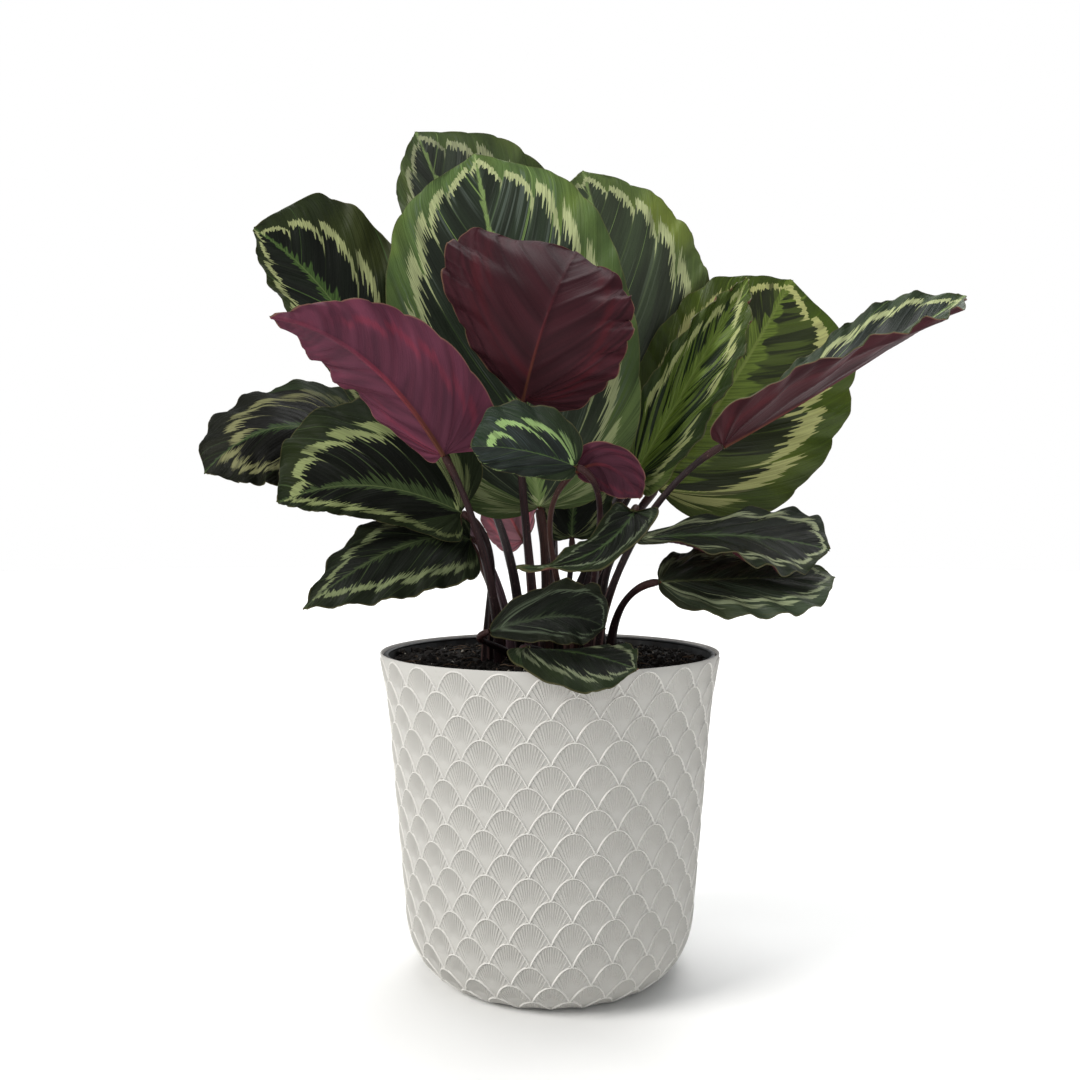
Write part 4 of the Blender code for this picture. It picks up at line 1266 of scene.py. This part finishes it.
def under_material(name, leaf, look, number):
    shade = LeafShade("under_" + name, number)
    field = shade.field
    where = shade.place()
    cell = shade.within_arch(look)
    broad = shade.fibres(look.cells * 1.7, 19, 1.1)
    streaks = shade.fibres(22, 19, 1.4, 2)
    lines = shade.fibres(110, 7, 3)
    patches = shade.noise(where, 20.0, 3)
    dark = scaled(look.under, 0.76, 0.78, 0.78)
    redder = scaled(look.under, 1.3, 0.95, 0.95)

    paint = shade.mix(shade.step(broad, 0.35, 0.65), dark, colour(*look.under))
    paint = shade.mix(shade.step(streaks, 0.35, 0.75) * 0.35, paint, scaled(look.under, 1.15, 1.05, 1.05))
    inside = shade.step(shade.ring, look.ring[0] + 0.06, look.ring[0] + 0.3)
    paint = shade.mix(inside * 0.4, paint, scaled(look.under, 0.76, 0.85, 0.82))
    middle = (1 - cell) ** 2.2 * look.drop + look.ring[0] + 0.02
    wavy = (shade.noise_line(field * (look.teeth * 0.5) + shade.seed, 1) - 0.5) * 0.1
    glow = shade.fall((shade.ring - middle + wavy).math("ABSOLUTE"), 0.01, 0.1)
    paint = shade.mix(glow * shade.step(patches, 0.35, 0.65) * 0.5, paint, redder)
    # Painted shade: the underside is darker towards the tip.
    paint = shade.mix(shade.step(field, 0.35, 1.0) * 0.45, paint, scaled(look.under, 0.7, 0.72, 0.72))
    # Painted shade: the grooves along the side veins are painted darker, besides their bump.
    vein = shade.step((cell - 0.5).math("ABSOLUTE"), 0.3, 0.5)
    paint = shade.mix(vein * 0.45, paint, dark)

    rib_width = LOWER_RIB / max(leaf.wide)
    rib = shade.fall(shade.from_rib, rib_width * 0.5, rib_width * 1.2)
    rib_paint = shade.mix(shade.step(field, 0.0, 0.5), colour(84, 50, 38), redder)
    paint = shade.mix(rib * (1 - shade.step(field, 0.15, 0.7) * 0.85), paint, rib_paint)
    paint = shade.mix(shade.near_edge(leaf, 0.3, 1.4) * 0.45, paint, colour(140, 108, 84))

    height = lines * 0.35 + streaks + shade.noise(where, 1100.0, 2) * 0.3 + vein * 1.2
    rough = 0.5 + (patches - 0.5) * 0.15 + (lines - 0.5) * 0.08
    return shade.finish(paint, rough, 0.05, shade.bump(height, 0.25 * MM))


# The stems.


def stem_course(leaf):
    """Points up the stem with their directions, from in the soil to just under the blade."""
    foot = np.array((leaf.root[0] * MM, leaf.root[1] * MM, SOIL_TOP))
    base, along = midrib(leaf, 0.0)
    end = base - along * LEAF_CLEARANCE
    reach = np.linalg.norm(end - foot)
    low = foot + (0, 0, leaf.bows[0] * reach)
    high = end - along * leaf.bows[1] * reach
    t = np.linspace(0, 1, STEM_STEPS + 1)[:, None]
    points = (1 - t) ** 3 * foot + 3 * t * (1 - t) ** 2 * low + 3 * t**2 * (1 - t) * high + t**3 * end
    points = np.concatenate([[foot - (0, 0, STEM_DEPTH)], points])
    return points, unit(np.gradient(points, axis=0))


def stem_radius(leaf, lengths, left):
    """The stem's radius, from the lengths up to each place and those left from there to the blade."""
    plain, per_width = STEM_FOOT
    foot = plain + per_width * sum(leaf.wide) * MM
    radius = foot * (1 - (1 - STEM_TOP) * (lengths / lengths[-1]))
    radius = radius * (1 + SWELLING * np.exp(-((left / SWELLING_LENGTH) ** 4)))
    radius = radius * (1 - NECK * np.exp(-((left / NECK_LENGTH) ** 2)))
    return radius * (1 + FOOT_SWELLING * np.exp(-((lengths / FOOT_LENGTH) ** 2)))


def stem_wings(draw, share, angles):
    """How far the edges of the open sheath stand out, for each place along the stem and round it."""
    sheath_end = draw.uniform(*SHEATH_ENDS)
    wing = draw.uniform(*WING_SIZES) * (1 - ((share - SHEATH_START) / sheath_end).clip(0, 1) ** 2).clip(0)
    opening = math.radians(draw.uniform(0, 360))
    edges = 0
    for shift in (-WING_APART, WING_APART):
        aside = np.angle(np.exp(1j * (angles - opening - shift)))
        edges = edges + np.exp(-((aside / WING_WIDTH) ** 2))
    return np.outer(wing, edges)


def tube_points(points, along, radius, angles):
    """Rings of points round a line, from the radius for each place along it and round it, and its ends."""
    side = unit(np.cross(along[0], (0.3, 1.0, 0.1)))
    rings = []
    for middle, way, reach in zip(points, along, radius[..., None]):
        side = unit(side - way * np.dot(side, way))
        other = np.cross(way, side)
        rings.append(middle + reach * (np.cos(angles)[:, None] * side + np.sin(angles)[:, None] * other))
    return np.concatenate(rings + [points[:1], points[-1:]])


def tube_faces(count, sides):
    faces = []
    for a in range(0, (count - 1) * sides, sides):
        for j in range(sides):
            k = (j + 1) % sides
            faces.append((a + j, a + k, a + sides + k, a + sides + j))
    bottom, top = count * sides, count * sides + 1
    last = (count - 1) * sides
    for j in range(sides):
        k = (j + 1) % sides
        faces.append((bottom, k, j))
        faces.append((top, last + j, last + k))
    return faces


def dress_stem(name, leaf, finish, number):
    """A tube that is channelled and winged low down, and swells into a joint under the blade."""
    draw = np.random.default_rng(SHEATH_SEED + number)
    points, along = stem_course(leaf)
    lengths = np.concatenate([[0], np.cumsum(np.linalg.norm(np.diff(points, axis=0), axis=1))])
    total = lengths[-1]
    share = lengths / total
    left = total - lengths
    angles = round_angles(STEM_SIDES)
    wings = stem_wings(draw, share, angles)
    radius = stem_radius(leaf, lengths, left)[:, None] * (1 + wings)
    corners = tube_points(points, along, radius, angles)
    faces = tube_faces(len(points), STEM_SIDES)
    stem = mesh_object("petiole_" + name, corners, faces, [finish], smooth=True, sharp=STEM_SHARP)
    around = np.append(np.tile(angles / TURN, len(points)), (0, 0))
    add_map(stem.data, "Length", np.append(np.repeat(share, STEM_SIDES), (0, 1)), around)
    to_blade = np.append(np.repeat(left, STEM_SIDES), (total, 0))
    add_map(stem.data, "Wing", np.append(wings.ravel(), (0, 0)), to_blade)
    stands_for(stem, "stem_" + name)


def stem_material(name, dark, light, green):
    shade = Shade(name)
    length, around = shade.both("Length")
    wing, left = shade.both("Wing")
    where = shade.place()
    turn = (around * TURN).math("COSINE")
    other = (around * TURN).math("SINE")
    beside = shade.add("CombineXYZ", {0: turn * 2.2, 1: other * 2.2, 2: length * 2.5})
    streaks = shade.noise(beside, 2.6, 3)
    beside_fine = shade.add("CombineXYZ", {0: turn * 6, 1: other * 6, 2: length * 5})
    fine = shade.noise(beside_fine, 2.4, 2)
    paint = shade.mix(shade.step(streaks, 0.35, 0.68), colour(*dark), colour(*light))
    paint = shade.mix(shade.step(fine, 0.58, 0.76) * 0.25, paint, colour(*green))
    paint = shade.mix(shade.step(wing, 0.42, 0.72) * 0.35, paint, colour(150, 116, 110))
    joint = shade.fall(left, 9 * MM, 16 * MM)
    paint = shade.mix(joint * 0.55, paint, colour(60, 32, 29))
    flecks = shade.step(shade.noise(where, 900.0, 1), 0.68, 0.76)
    paint = shade.mix(flecks * 0.3, paint, colour(150, 120, 108))
    height = fine + shade.noise(where, 700.0, 2) * 0.4
    return shade.finish(paint, 0.36 + streaks * 0.16, 0.2, shade.bump(height, 0.2 * MM))


main()
